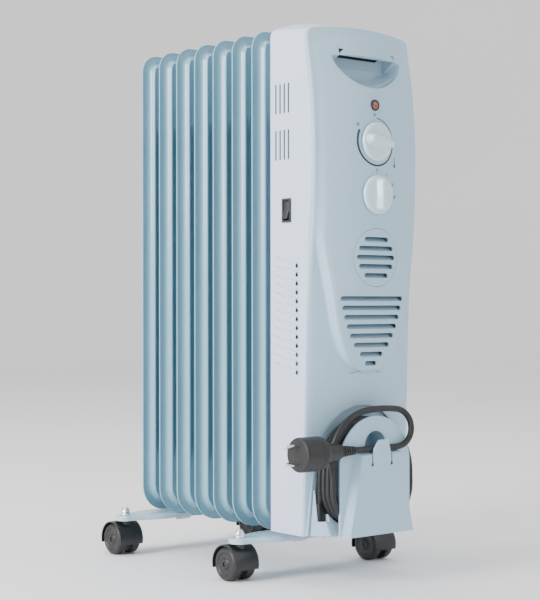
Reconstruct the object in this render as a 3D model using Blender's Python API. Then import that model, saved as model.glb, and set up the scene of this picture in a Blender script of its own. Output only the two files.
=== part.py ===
"""Oil filled radiator heater with seven pressed steel fins, a control housing and four casters.

Units are metres. +Z is up, the floor is z = 0. The control panel faces -Y and +X is the right
hand of a person who faces it. While it is built, y = 0 is the middle of the front fin; the last
step moves everything so that the footprint's centre is the origin.
"""
import math

import bmesh
import bpy
import numpy as np
from mathutils import Vector

# ---- Clearances -------------------------------------------------------------------------------
GAP = 0.0003              # between faces that touch
RUNNING = 0.0004          # radial clearance of a turning shaft in its hole
SHARP_ANGLE = math.radians(38)  # edges bent more than this stay sharp

# ---- Fins -------------------------------------------------------------------------------------
FIN_COUNT = 7
FIN_PITCH = 0.038
FIN_WIDTH = 0.147
FIN_HEIGHT = 0.594
FIN_TOP_RADIUS = 0.022
FIN_BOTTOM_RADIUS = 0.034
FIN_CORNER_STEPS = 3
SEAM_HALF = 0.0010        # half the thickness of the welded seam round the fin
SEAM_WIDTH = 0.010        # flat welded border
BEAD_RUN = 0.004          # slope from the border up to the oil channel
CHANNEL_HALF = 0.0092     # half the thickness of the oil channel
STEEL = 0.0010            # wall of the pressed fin
WEB_WIDTH = 0.022         # recessed web between two oil channels
WEB_EDGE = 0.0167         # from the fin's edge to the web
WEB_BASE = 0.082          # from the fin's lower edge to the web's lower end
WEB_TOP = 0.098           # from the fin's upper edge to the web's upper end
WEB_HALF = 0.0018         # half the thickness of the web
WEB_WALL = 0.0024         # steel left between the recess and the oil channel
NECK_RADIUS = 0.0200
NECK_WALL = 0.0030
NECK_SIDES = 14
LOWER_HEADER = 0.045      # height of the lower neck above the fin's lower edge
UPPER_HEADER = 0.049      # depth of the upper neck below the fin's upper edge
STUB_REACH = 0.0465       # how far the front fin's necks stand forward of its middle

# ---- Feet -------------------------------------------------------------------------------------
WHEEL_RADIUS = 0.0200
WHEEL_SIDES = 16
WHEEL_WIDTH = 0.0120
WHEEL_SPLIT = 0.0045      # from the caster's middle to the wheel's inner face
CASTER_TRAIL = 0.0080     # from the swivel axis back to the wheel axle
FENDER_CLEAR = 0.0010
FENDER_WALL = 0.0016
CASTER_CLEAR = 0.0014       # between the fender and the foot bracket
AXLE_RADIUS = 0.0025
BOSS_RADIUS = 0.0060
SWIVEL_RADIUS = 0.0025
SWIVEL_DEPTH = 0.0220       # the bolt's reach below the bracket's top wall
BORE_DEPTH = 0.0242
CASTER_SPREAD = 0.110     # swivel axes from the middle plane
BRACKET_BASE = 0.0436     # lower rim of the foot bracket above the floor
BRACKET_DEPTH = 0.0061
BRACKET_WALL = 0.0015
BRACKET_WIDTH = 0.050
BRACKET_WAIST = 0.068     # where the bracket starts to taper towards its tips
BRACKET_TIP = 0.0130
FRONT_FEET_Y = -0.022
REAR_FEET_BEHIND = 0.014  # rear bracket's middle, forward of the rear fin
UBOLT_RADIUS = 0.0025
CAP_NUT_RADIUS = 0.0058

# ---- Housing ----------------------------------------------------------------------------------
HOUSING_WIDTH = 0.160
HOUSING_REAR = -0.042
HOUSING_BASE = 0.057
SHEET = 0.0012
ROOF_RADIUS = 0.012
ROOF_EDGE_REAR = 0.6395
ROOF_CENTRE_REAR = 0.6530
ROOF_EDGE_FRONT = 0.6325
ROOF_CENTRE_FRONT = 0.6370
PANEL_WALL = 0.0022
# Height and y of the seam between side shell and front cover.
SEAM_LINE = [(0.057, -0.0975), (0.170, -0.1010), (0.280, -0.1055), (0.400, -0.1100), (0.450, -0.1145),
             (0.500, -0.1155), (0.560, -0.1115), (0.610, -0.1040), (0.660, -0.1010)]
# Height and y of the front cover's side edge.
EDGE_LINE = [(0.057, -0.1010), (0.200, -0.1045), (0.300, -0.1075), (0.350, -0.1110), (0.400, -0.1165),
             (0.440, -0.1190), (0.490, -0.1200), (0.535, -0.1182), (0.575, -0.1143), (0.620, -0.1070),
             (0.660, -0.1040)]
# Height and y of the cover's plain face, on the middle line.
PLAIN_LINE = [(0.057, -0.1050), (0.120, -0.1075), (0.200, -0.1115), (0.245, -0.1180), (0.300, -0.1220),
              (0.360, -0.1245), (0.420, -0.1260), (0.550, -0.1250), (0.610, -0.1180), (0.660, -0.1080)]
# Height and y of the raised shield's face, on the middle line.
SHIELD_LINE = [(0.057, -0.1000), (0.200, -0.1050), (0.239, -0.1165), (0.240, -0.1180), (0.2438, -0.1240),
               (0.260, -0.1275), (0.291, -0.1315), (0.330, -0.1345), (0.3726, -0.1370), (0.440, -0.1370),
               (0.505, -0.1355), (0.550, -0.1330), (0.575, -0.1295), (0.600, -0.1260), (0.622, -0.1195),
               (0.634, -0.1120), (0.660, -0.1090)]
# Height and half width of the raised shield.
SHIELD_HALF = [(0.240, 0.0040), (0.2438, 0.0170), (0.248, 0.0265), (0.260, 0.0385), (0.291, 0.0520),
               (0.330, 0.0610), (0.356, 0.0675), (0.380, 0.0745), (0.400, 0.0785), (0.420, 0.0794)]
SHIELD_FLANK = [(0.240, 0.0030), (0.356, 0.0040), (0.380, 0.0070), (0.420, 0.0125)]
SHIELD_CROWN = 0.200      # plan radius of the shield's face
SECTION_HEIGHTS = [0.0573, 0.120, 0.200, 0.232, 0.240, 0.2438, 0.248, 0.260, 0.275, 0.291, 0.310, 0.330,
                   0.356, 0.380, 0.400, 0.420, 0.450, 0.480, 0.505, 0.535, 0.560, 0.575, 0.600, 0.622,
                   0.634, 0.660]

# ---- Controls ---------------------------------------------------------------------------------
KNOB_RADIUS = 0.0225
KNOB_DISC = 0.0030
KNOB_GRIP = 0.0105
KNOB_SHAFT = 0.0030
CONTROL_SETBACK = 0.0024  # from the cover's inner face to the electrical bodies behind the knobs
THERMOSTAT_Z = 0.505
SELECTOR_Z = 0.4445
LAMP_Z = 0.547
LAMP_RADIUS = 0.0064
GRILLE_Z = 0.3726
GRILLE_RADIUS = 0.0335
SLOT_HEIGHT = 0.0055
GRILLE_PITCH = 0.0103
GRILLE_SLOTS = [0.037, 0.053, 0.059, 0.053, 0.037]
LOUVRE_TOP = 0.3256
LOUVRE_PITCH = 0.0106
LOUVRE_LENGTHS = [0.097, 0.092, 0.086, 0.078, 0.068, 0.055, 0.036, 0.018]
SCOOP_TOP = 0.6035
SCOOP_HALF = 0.0555
SCOOP_DROP = 0.0355
SCOOP_TAPER = 0.0100        # how much the scoop's outline shrinks down to its floor
SCOOP_FLOOR_Y = -0.100
SCOOP_LIP = 0.0060        # the finger pocket's height above the scoop's upper edge
SWITCH_Y = -0.072
SWITCH_Z = 0.4265
SWITCH_WIDTH = 0.0125
SWITCH_HEIGHT = 0.0250
ROCKER_TILT = 10.0
VENT_GROUPS = [0.5552, 0.5020]
VENT_HEIGHT = 0.034
VENT_PITCH = 0.0075
VENT_WIDTH = 0.0018
VENT_FIRST_Y = -0.0522
SIDE_LOUVRES = 13
SIDE_LOUVRE_PITCH = 0.0101
SIDE_LOUVRE_TOP = 0.3685
SIDE_LOUVRE_Y = -0.070
SIDE_LOUVRE_LENGTH = 0.040
SIDE_LOUVRE_SLOPE = math.radians(17.5)
SIDE_LOUVRE_GAP = 0.0020

# ---- Fan heater inside ------------------------------------------------------------------------
FAN_Z = 0.300
FAN_SIZE = 0.092
FAN_DEPTH = 0.020
FAN_FRONT = -0.100
FAN_DUCT = 0.0415
IMPELLER_RADIUS = 0.0385
MOTOR_RADIUS = 0.0140
MOTOR_LENGTH = 0.0220
FAN_SHAFT = 0.0024
BLADE_COUNT = 5
BLADE_STATIONS = [(0.0115, 0.85), (0.026, 0.62), (IMPELLER_RADIUS, 0.45)]  # radius and twist
BLADE_HALF = 0.0006
GRID_DEPTH = 0.0130
GRID_CELL_PITCH = 0.0185

# ---- Cord and its winder ----------------------------------------------------------------------
CORD_DIAMETER = 0.0072
COIL_HALF = 0.0620        # middle of the turns' straight sides from the middle plane
COIL_CENTRE_Z = 0.1244    # centre of the turns' round top
COIL_BASE = 0.0700        # middle of the turns' lower run
COIL_CORNER = 0.0400
COIL_FRONT = -0.1305
COIL_REAR = -0.1045
RECESS_FLOOR = -0.1030
PLATE_FRONT = -0.1335
PLATE_WALL = 0.0025
PLATE_HALF = 0.0545
PLATE_TOP = 0.1915
PLATE_BASE = 0.0575
LEDGE_Z = 0.1505
BULGE_FRONT = -0.1450
CLIP_HALF = 0.0105
CLIP_TOP = 0.1660
CLIP_WALL = 0.0020
LEAD_Z = 0.1550
PLUG_RADIUS = 0.0192
PLUG_END = -0.0388        # where the plug's strain relief starts
PLUG_Y = -0.1408
PIN_RADIUS = 0.0024
PIN_LENGTH = 0.019
PIN_SPACING = 0.019
GLAND_X = -0.0620
GLAND_Y = -0.1078
GLAND_BASE = 0.0745
GLAND_TIP = 0.1170
GLAND_HALF = 0.0050         # half the strain relief's square foot
GLAND_DEPTH = 0.0042        # from the strain relief's middle to its front
GLAND_FOOT = 0.0200         # height of the square foot
WINDER_WALL = 0.0030
SKIRT_FRONT = -0.1235
CLIP_LEAN = 0.0015          # how far the clip's tip leans forward of its root
CLIP_ROOT = 0.1400
RELIEF_X = 0.0120           # slots either side of the clip
RELIEF_BASE = 0.1375
RELIEF_HALF = 0.0010

# ---- Sizes worked out from the ones above -----------------------------------------------------
FIN_BASE = BRACKET_BASE + BRACKET_DEPTH + GAP
FIN_TOP = FIN_BASE + FIN_HEIGHT
REAR_FIN_Y = (FIN_COUNT - 1) * FIN_PITCH
REAR_FEET_Y = REAR_FIN_Y - REAR_FEET_BEHIND
LOWER_NECK_Z = FIN_BASE + LOWER_HEADER
UPPER_NECK_Z = FIN_TOP - UPPER_HEADER
AXLE_Z = BRACKET_BASE - CASTER_CLEAR - FENDER_WALL - FENDER_CLEAR - WHEEL_RADIUS
HALF_HOUSING = HOUSING_WIDTH / 2


def material(name, colour, roughness, metallic=0.0):
    """A plain Principled material."""
    made = bpy.data.materials.new(name)
    made.use_nodes = True
    shader = made.node_tree.nodes["Principled BSDF"]
    shader.inputs["Base Color"].default_value = (*colour, 1.0)
    shader.inputs["Roughness"].default_value = roughness
    shader.inputs["Metallic"].default_value = metallic
    return made


def at_height(line, z):
    """Value of a (height, value) line at height z."""
    heights, values = zip(*line)
    return float(np.interp(z, heights, values))


# ---- Outlines ---------------------------------------------------------------------------------
def arc(centre, radius, start, end, steps):
    """Points on an arc, angles in degrees."""
    points = []
    for step in range(steps + 1):
        angle = math.radians(start + (end - start) * step / steps)
        points.append((centre[0] + radius * math.cos(angle), centre[1] + radius * math.sin(angle)))
    return points


def circle(centre, radius, sides):
    """Points on a whole circle, with a flat side lowest."""
    turn = 360.0 / sides
    return arc(centre, radius, -90 + turn / 2, 270 - turn / 2, sides - 1)


def rounded_box(low, high, radii, steps):
    """Outline of a box between two corners, radii = (lower, upper)."""
    (x0, z0), (x1, z1) = low, high
    lower, upper = radii
    return (arc((x0 + lower, z0 + lower), lower, 180, 270, steps)
            + arc((x1 - lower, z0 + lower), lower, 270, 360, steps)
            + arc((x1 - upper, z1 - upper), upper, 0, 90, steps)
            + arc((x0 + upper, z1 - upper), upper, 90, 180, steps))


def stadium(centre, length, width, steps=3):
    """Outline of a slot with round ends, along the first axis."""
    reach = (length - width) / 2
    return (arc((centre[0] + reach, centre[1]), width / 2, -90, 90, 2 * steps)
            + arc((centre[0] - reach, centre[1]), width / 2, 90, 270, 2 * steps))


def on_plane(outline, axis, level):
    """Outline points in space. Axis X takes (y, z), axis Y takes (x, z), axis Z takes (x, y)."""
    if axis == "X":
        return [Vector((level, a, b)) for a, b in outline]
    if axis == "Y":
        return [Vector((a, level, b)) for a, b in outline]
    return [Vector((a, b, level)) for a, b in outline]


# ---- Solids -----------------------------------------------------------------------------------
def finish(bm, name, look=None):
    """Turn a bmesh into a linked object of triangles that face outwards."""
    bmesh.ops.triangulate(bm, faces=bm.faces)
    bmesh.ops.recalc_face_normals(bm, faces=bm.faces)
    mesh = bpy.data.meshes.new(name)
    bm.to_mesh(mesh)
    bm.free()
    made = bpy.data.objects.new(name, mesh)
    bpy.context.collection.objects.link(made)
    if look:
        made.data.materials.append(look)
    return made


def loft_into(bm, loops):
    """Skin a row of loops and cap both ends."""
    rows = [[bm.verts.new(point) for point in loop] for loop in loops]
    count = len(rows[0])
    for near, far in zip(rows, rows[1:]):
        for index in range(count):
            other = (index + 1) % count
            bm.faces.new((near[index], near[other], far[other], far[index]))
    bm.faces.new(rows[0])
    bm.faces.new(rows[-1])


def loft(name, loops, look=None):
    """A closed solid through a row of loops."""
    bm = bmesh.new()
    loft_into(bm, loops)
    return finish(bm, name, look)


def prism(name, outline, axis, low, high, look=None):
    """An outline pushed straight from low to high."""
    return loft(name, [on_plane(outline, axis, low), on_plane(outline, axis, high)], look)


def prisms(name, outlines, axis, low, high):
    """Several separate prisms in one cutter."""
    bm = bmesh.new()
    for outline in outlines:
        loft_into(bm, [on_plane(outline, axis, low), on_plane(outline, axis, high)])
    return finish(bm, name)


def box(name, low, high, look=None):
    """A plain box between two corners."""
    outline = [(low[0], low[1]), (high[0], low[1]), (high[0], high[1]), (low[0], high[1])]
    return prism(name, outline, "Z", low[2], high[2], look)


def turned(name, centre, axis, profile, sides, look=None):
    """A turned solid. The profile is (distance along the axis, radius) from end to end."""
    flat = {"X": (centre[1], centre[2]), "Y": (centre[0], centre[2]), "Z": (centre[0], centre[1])}[axis]
    base = centre["XYZ".index(axis)]
    loops = [on_plane(circle(flat, radius, sides), axis, base + along) for along, radius in profile]
    return loft(name, loops, look)


def turned_ring(name, centre, axis, profile, sides, look=None):
    """A turned solid with a bore. The profile is a closed (along, radius) outline."""
    flat = {"X": (centre[1], centre[2]), "Y": (centre[0], centre[2]), "Z": (centre[0], centre[1])}[axis]
    base = centre["XYZ".index(axis)]
    bm = bmesh.new()
    rows = []
    for along, radius in profile:
        loop = on_plane(circle(flat, radius, sides), axis, base + along)
        rows.append([bm.verts.new(point) for point in loop])
    for near, far in zip(rows, rows[1:] + rows[:1]):
        for index in range(sides):
            other = (index + 1) % sides
            bm.faces.new((near[index], near[other], far[other], far[index]))
    return finish(bm, name, look)


def tube(name, points, radius, sides, look=None):
    """A round bar along a path, its section carried without twist."""
    points = [Vector(point) for point in points]
    loops = []
    side = None
    for index, point in enumerate(points):
        ahead = points[min(index + 1, len(points) - 1)]
        behind = points[max(index - 1, 0)]
        heading = (ahead - behind).normalized()
        if side is None:
            side = heading.orthogonal().normalized()
        side = (side - heading * side.dot(heading)).normalized()
        other = heading.cross(side)
        loop = []
        for step in range(sides):
            angle = 2 * math.pi * step / sides
            loop.append(point + side * (radius * math.cos(angle)) + other * (radius * math.sin(angle)))
        loops.append(loop)
    return loft(name, loops, look)


def combine(body, tool, operation, solver="EXACT"):
    """Apply one Boolean and drop the tool."""
    change = body.modifiers.new(operation.title(), "BOOLEAN")
    change.operation = operation
    change.solver = solver
    change.object = tool
    graph = bpy.context.evaluated_depsgraph_get()
    result = bpy.data.meshes.new_from_object(body.evaluated_get(graph))
    body.modifiers.clear()
    body.data = result
    bpy.data.objects.remove(tool)
    return body


def cut(body, tool):
    return combine(body, tool, "DIFFERENCE")


def join(body, tool):
    return combine(body, tool, "UNION")


def keep(body, tool):
    return combine(body, tool, "INTERSECT")


def copy_of(source, name, shift=(0.0, 0.0, 0.0)):
    """Another object on its own copy of the mesh."""
    made = source.copy()
    made.data = source.data.copy()
    made.name = name
    made.location = made.location + Vector(shift)
    bpy.context.collection.objects.link(made)
    return made


def set_pivot(body, pivot):
    """Move the object's origin onto its joint axis without moving its shape."""
    pivot = Vector(pivot)
    for vertex in body.data.vertices:
        vertex.co -= pivot
    body.location = body.location + pivot


# ---- Fins -------------------------------------------------------------------------------------
def fin_outline(inset, steps=FIN_CORNER_STEPS):
    """The fin's outline in (x, z), drawn in by inset."""
    half = FIN_WIDTH / 2 - inset
    radii = (max(FIN_BOTTOM_RADIUS - inset, 0.004), max(FIN_TOP_RADIUS - inset, 0.004))
    return rounded_box((-half, FIN_BASE + inset), (half, FIN_TOP - inset), radii, steps)


def web_outline(side, inset):
    """One recessed web's outline; a negative inset makes it larger."""
    inner = FIN_WIDTH / 2 - WEB_EDGE - WEB_WIDTH + inset
    outer = FIN_WIDTH / 2 - WEB_EDGE - inset
    low, high = sorted((side * inner, side * outer))
    round_end = (high - low) / 2 - 0.0001
    return rounded_box((low, FIN_BASE + WEB_BASE + inset), (high, FIN_TOP - WEB_TOP - inset),
                       (round_end, round_end), 2)


def fin_solid(name, forward, backward, look):
    """One fin round y = 0, its necks reaching forward and backward (0 for a closed side)."""
    skin = loft(name, [on_plane(fin_outline(0), "Y", -SEAM_HALF), on_plane(fin_outline(0), "Y", SEAM_HALF)],
                look)
    slope = SEAM_WIDTH + BEAD_RUN
    body = loft("body", [on_plane(fin_outline(slope), "Y", -CHANNEL_HALF),
                         on_plane(fin_outline(SEAM_WIDTH), "Y", -SEAM_HALF / 2),
                         on_plane(fin_outline(SEAM_WIDTH), "Y", SEAM_HALF / 2),
                         on_plane(fin_outline(slope), "Y", CHANNEL_HALF)])
    join(skin, body)
    for side in (-1, 1):
        for face in (-1, 1):
            pocket = loft("pocket", [
                on_plane(web_outline(side, 0.002), "Y", face * WEB_HALF),
                on_plane(web_outline(side, -0.0006), "Y", face * (CHANNEL_HALF + 0.002))])
            cut(skin, pocket)
    inner = loft("inner", [on_plane(fin_outline(slope + STEEL, 1), "Y", -CHANNEL_HALF + STEEL),
                           on_plane(fin_outline(SEAM_WIDTH + 2.5 * STEEL, 1), "Y", 0),
                           on_plane(fin_outline(slope + STEEL, 1), "Y", CHANNEL_HALF - STEEL)])
    for side in (-1, 1):
        inner_x = side * (FIN_WIDTH / 2 - WEB_EDGE - WEB_WIDTH - WEB_WALL)
        outer_x = side * (FIN_WIDTH / 2 - WEB_EDGE + WEB_WALL)
        cut(inner, box("pillar", (min(inner_x, outer_x), -CHANNEL_HALF, FIN_BASE + WEB_BASE - WEB_WALL),
                       (max(inner_x, outer_x), CHANNEL_HALF, FIN_TOP - WEB_TOP + WEB_WALL)))
    for height in (LOWER_NECK_Z, UPPER_NECK_Z):
        for reach, face in ((forward, -1), (backward, 1)):
            if not reach:
                continue
            base = CHANNEL_HALF - STEEL / 2
            neck = turned("neck", (0, 0, height), "Y", [(face * base, NECK_RADIUS + 0.002),
                                                        (face * (base + 0.003), NECK_RADIUS),
                                                        (face * reach, NECK_RADIUS)], NECK_SIDES)
            join(skin, neck)
            bore = turned("bore", (0, 0, height), "Y", [(face * (base - 0.002), NECK_RADIUS - NECK_WALL),
                                                        (face * (reach + 0.002), NECK_RADIUS - NECK_WALL)],
                          NECK_SIDES)
            join(inner, bore)
    return cut(skin, inner)


def build_fins(look):
    """The oil radiator: fins one pitch apart, neck to neck."""
    meet = (FIN_PITCH - GAP) / 2
    middle = fin_solid("fin_middle", meet, meet, look)
    for number in range(1, FIN_COUNT - 1):
        copy_of(middle, f"fin_{number + 1}", (0, number * FIN_PITCH, 0))
    bpy.data.objects.remove(middle)
    fin_solid("fin_1", STUB_REACH, meet, look)
    rear = fin_solid(f"fin_{FIN_COUNT}", meet, 0, look)
    rear.location.y = REAR_FIN_Y


def build_heating(looks):
    """Electric element in the lower necks, and the filler plug in the upper one."""
    bore = NECK_RADIUS - NECK_WALL - GAP
    face = -STUB_REACH - GAP
    element = turned("heating_element", (0, 0, LOWER_NECK_Z), "Y",
                     [(face - 0.004, NECK_RADIUS - 0.001), (face, NECK_RADIUS - 0.001), (face + 0.0001, bore),
                      (face + 0.010, bore)], NECK_SIDES, looks["steel"])
    offset = 0.0062
    far = REAR_FIN_Y - 0.012
    bend = arc((0, far), offset, 0, 180, 5)
    for lift in (-offset, offset):
        points = [(offset, face - 0.012, LOWER_NECK_Z + lift)]
        points += [(x, y, LOWER_NECK_Z + lift) for x, y in bend]
        points += [(-offset, face - 0.012, LOWER_NECK_Z + lift)]
        join(element, tube("hairpin", points, 0.0040, 8))
    turned("oil_filler_plug", (0, 0, UPPER_NECK_Z), "Y",
           [(face - 0.006, 0.0085), (face - 0.003, 0.0095), (face - 0.0029, NECK_RADIUS - 0.001),
            (face, NECK_RADIUS - 0.001), (face + 0.0001, bore), (face + 0.008, bore)], NECK_SIDES,
           looks["steel"])


# ---- Feet -------------------------------------------------------------------------------------
def bracket_outline(middle, inset):
    """Foot bracket seen from above: wide waist, round tips."""
    tip = BRACKET_TIP - inset
    half = BRACKET_WIDTH / 2 - inset
    right = arc((CASTER_SPREAD, middle), tip, -70, 70, 5)
    left = arc((-CASTER_SPREAD, middle), tip, 110, 250, 5)
    return (right + [(BRACKET_WAIST, middle + half), (-BRACKET_WAIST, middle + half)]
            + left + [(-BRACKET_WAIST, middle - half), (BRACKET_WAIST, middle - half)])


def build_bracket(name, middle, bolt_y, looks):
    """A pressed bar under the fins, its U-bolt and wing nuts."""
    top = BRACKET_BASE + BRACKET_DEPTH
    plate = prism(name, bracket_outline(middle, 0), "Z", BRACKET_BASE, top, looks["foot_paint"])
    cut(plate, prism("hollow", bracket_outline(middle, BRACKET_WALL), "Z", BRACKET_BASE - 0.001,
                     top - BRACKET_WALL))
    holes = [circle((side * CASTER_SPREAD, middle), SWIVEL_RADIUS + GAP, 10) for side in (-1, 1)]
    leg = NECK_RADIUS + UBOLT_RADIUS + 2 * GAP
    holes += [circle((side * leg, bolt_y), UBOLT_RADIUS + GAP, 10) for side in (-1, 1)]
    cut(plate, prisms("holes", holes, "Z", BRACKET_BASE, top + 0.001))

    place = name.split("_")[0]
    low = BRACKET_BASE - 0.006
    path = [(leg, bolt_y, low)]
    path += [(x, bolt_y, z) for x, z in arc((0, LOWER_NECK_Z), leg, 0, 180, 10)]
    path += [(-leg, bolt_y, low)]
    tube(f"{place}_u_bolt", path, UBOLT_RADIUS, 8, looks["steel"])
    seat = top - BRACKET_WALL - GAP
    for side, word in ((-1, "left"), (1, "right")):
        centre = (side * leg, bolt_y, 0)
        nut = turned(f"{place}_wing_nut_{word}", centre, "Z", [(seat - 0.006, 0.0045), (seat, 0.0050)], 10,
                     looks["steel"])
        wing = box("wing", (side * leg - 0.011, bolt_y - 0.0010, seat - 0.010),
                   (side * leg + 0.011, bolt_y + 0.0010, seat - 0.0015))
        join(nut, wing)
        cut(nut, prism("thread", circle((side * leg, bolt_y), UBOLT_RADIUS + GAP, 10), "Z", seat - 0.012,
                       seat + 0.001))


def build_caster(place, x, y, looks):
    """One twin-wheel caster with its bolt; the wheels trail behind the swivel axis."""
    axle_y = y + CASTER_TRAIL
    underside = BRACKET_BASE + BRACKET_DEPTH - BRACKET_WALL
    fender = WHEEL_RADIUS + FENDER_CLEAR + FENDER_WALL
    half = WHEEL_SPLIT + WHEEL_WIDTH + 0.0005
    hood = arc((axle_y, AXLE_Z), fender, -15, 195, 14)
    fork = prism(f"caster_{place}_fork", hood, "X", x - half, x + half, looks["caster_plastic"])
    boss = [(AXLE_Z + 0.004, BOSS_RADIUS), (underside - GAP, BOSS_RADIUS)]
    join(fork, turned("boss", (x, y, 0), "Z", boss, 12))
    for side in (-1, 1):
        near, far = x + side * (WHEEL_SPLIT - 0.0004), x + side * (half + 0.001)
        room = prism("room", circle((axle_y, AXLE_Z), WHEEL_RADIUS + FENDER_CLEAR, 20), "X",
                     min(near, far), max(near, far))
        cut(fork, room)
    cut(fork, turned("bore", (x, y, 0), "Z", [(underside - BORE_DEPTH, SWIVEL_RADIUS + RUNNING),
                                              (underside + 0.001, SWIVEL_RADIUS + RUNNING)], 10))
    reach = WHEEL_SPLIT + WHEEL_WIDTH - 0.001
    join(fork, prism("axle", circle((axle_y, AXLE_Z), AXLE_RADIUS, 10), "X", x - reach, x + reach))
    set_pivot(fork, (x, y, AXLE_Z))

    for side, word in ((-1, "left"), (1, "right")):
        inner = side * WHEEL_SPLIT
        outer = side * (WHEEL_SPLIT + WHEEL_WIDTH)
        chamfer = side * 0.0020
        bore = AXLE_RADIUS + RUNNING
        wheel = turned_ring(f"caster_{place}_wheel_{word}", (x, axle_y, AXLE_Z), "X",
                            [(inner, bore), (inner, WHEEL_RADIUS - 0.0015),
                             (inner + chamfer / 2, WHEEL_RADIUS), (outer - chamfer, WHEEL_RADIUS),
                             (outer, WHEEL_RADIUS - 0.0040), (outer, bore)], WHEEL_SIDES, looks["tyre"])
        set_pivot(wheel, (x, axle_y, AXLE_Z))

    seat = BRACKET_BASE + BRACKET_DEPTH + GAP
    turned(f"caster_{place}_bolt", (x, y, 0), "Z",
           [(underside - SWIVEL_DEPTH, SWIVEL_RADIUS), (seat, SWIVEL_RADIUS),
            (seat + 0.0001, CAP_NUT_RADIUS + 0.0008), (seat + 0.0010, CAP_NUT_RADIUS + 0.0008),
            (seat + 0.0011, CAP_NUT_RADIUS),
            (seat + 0.0048, CAP_NUT_RADIUS), (seat + 0.0052, CAP_NUT_RADIUS * 0.86),
            (seat + 0.0088, CAP_NUT_RADIUS * 0.66), (seat + 0.0103, CAP_NUT_RADIUS * 0.25)], 12,
           looks["chrome"])


# ---- Housing ----------------------------------------------------------------------------------
def roof_path(edge, centre, inset):
    """The housing's roof line in (x, z) from left to right, with its two round corners."""
    half = HALF_HOUSING - inset
    radius = ROOF_RADIUS - inset
    flat = HALF_HOUSING - ROOF_RADIUS
    edge, centre = edge - inset, centre - inset
    left = arc((-half + radius, edge - radius), radius, 180, 105, 3)
    crown = []
    for step in range(-3, 4):
        x = flat * step / 4
        crown.append((x, centre - (centre - edge) * (x / flat) ** 2))
    right = [(-x, z) for x, z in reversed(left)]
    return left + crown + right


def housing_path(edge, centre, inset):
    """Left wall, roof and right wall in (x, z); the walls have a point at every seam height."""
    wall = [height for height, _ in SEAM_LINE if HOUSING_BASE < height < 0.615]
    half = HALF_HOUSING - inset
    levels = [HOUSING_BASE] + wall
    return ([(-half, z) for z in levels] + roof_path(edge, centre, inset)
            + [(half, z) for z in reversed(levels)])


def sheet(name, paths, look):
    """A bent sheet from four matching paths: outer rear, outer front, inner front, inner rear."""
    bm = bmesh.new()
    rows = [[bm.verts.new(point) for point in path] for path in paths]
    for near, far in zip(rows, rows[1:] + rows[:1]):
        for index in range(len(near) - 1):
            bm.faces.new((near[index], near[index + 1], far[index + 1], far[index]))
    for end in (0, -1):
        bm.faces.new([row[end] for row in rows])
    return finish(bm, name, look)


def slanted_slot(y, z):
    """Outline of one slanted opening in a side wall."""
    reach = (SIDE_LOUVRE_LENGTH - SIDE_LOUVRE_GAP) / 2
    dy, dz = -reach * math.cos(SIDE_LOUVRE_SLOPE), -reach * math.sin(SIDE_LOUVRE_SLOPE)
    nose = 180 + math.degrees(SIDE_LOUVRE_SLOPE)
    radius = SIDE_LOUVRE_GAP / 2
    return (arc((y + dy, z + dz), radius, nose - 90, nose + 90, 2)
            + arc((y - dy, z - dz), radius, nose + 90, nose + 270, 2))


def build_shell(look):
    """Sheet steel that wraps the housing's sides and roof."""
    rear_outer = housing_path(ROOF_EDGE_REAR, ROOF_CENTRE_REAR, 0)
    front_outer = housing_path(ROOF_EDGE_FRONT, ROOF_CENTRE_FRONT, 0)
    rear_inner = housing_path(ROOF_EDGE_REAR, ROOF_CENTRE_REAR, SHEET)
    front_inner = housing_path(ROOF_EDGE_FRONT, ROOF_CENTRE_FRONT, SHEET)
    seam = [at_height(SEAM_LINE, z) for _, z in front_outer]
    paths = [[Vector((x, HOUSING_REAR, z)) for x, z in rear_outer],
             [Vector((x, y, z)) for (x, z), y in zip(front_outer, seam)],
             [Vector((x, y, z)) for (x, z), y in zip(front_inner, seam)],
             [Vector((x, HOUSING_REAR, z)) for x, z in rear_inner]]
    shell = sheet("housing_side_shell", paths, look)
    slots = []
    for middle in VENT_GROUPS:
        for number in range(4):
            y = VENT_FIRST_Y - number * VENT_PITCH
            low, high = middle - VENT_HEIGHT / 2, middle + VENT_HEIGHT / 2
            slots.append([(y - VENT_WIDTH / 2, low), (y + VENT_WIDTH / 2, low), (y + VENT_WIDTH / 2, high),
                          (y - VENT_WIDTH / 2, high)])
    for number in range(SIDE_LOUVRES):
        slots.append(slanted_slot(SIDE_LOUVRE_Y, SIDE_LOUVRE_TOP - number * SIDE_LOUVRE_PITCH))
    cut(shell, prisms("slots", slots, "X", -HALF_HOUSING - 0.01, HALF_HOUSING + 0.01))
    wide, tall = SWITCH_WIDTH / 2 + GAP, SWITCH_HEIGHT / 2 + GAP
    cut(shell, box("switch", (-HALF_HOUSING - 0.01, SWITCH_Y - wide, SWITCH_Z - tall),
                   (-HALF_HOUSING + 0.01, SWITCH_Y + wide, SWITCH_Z + tall)))


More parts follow.
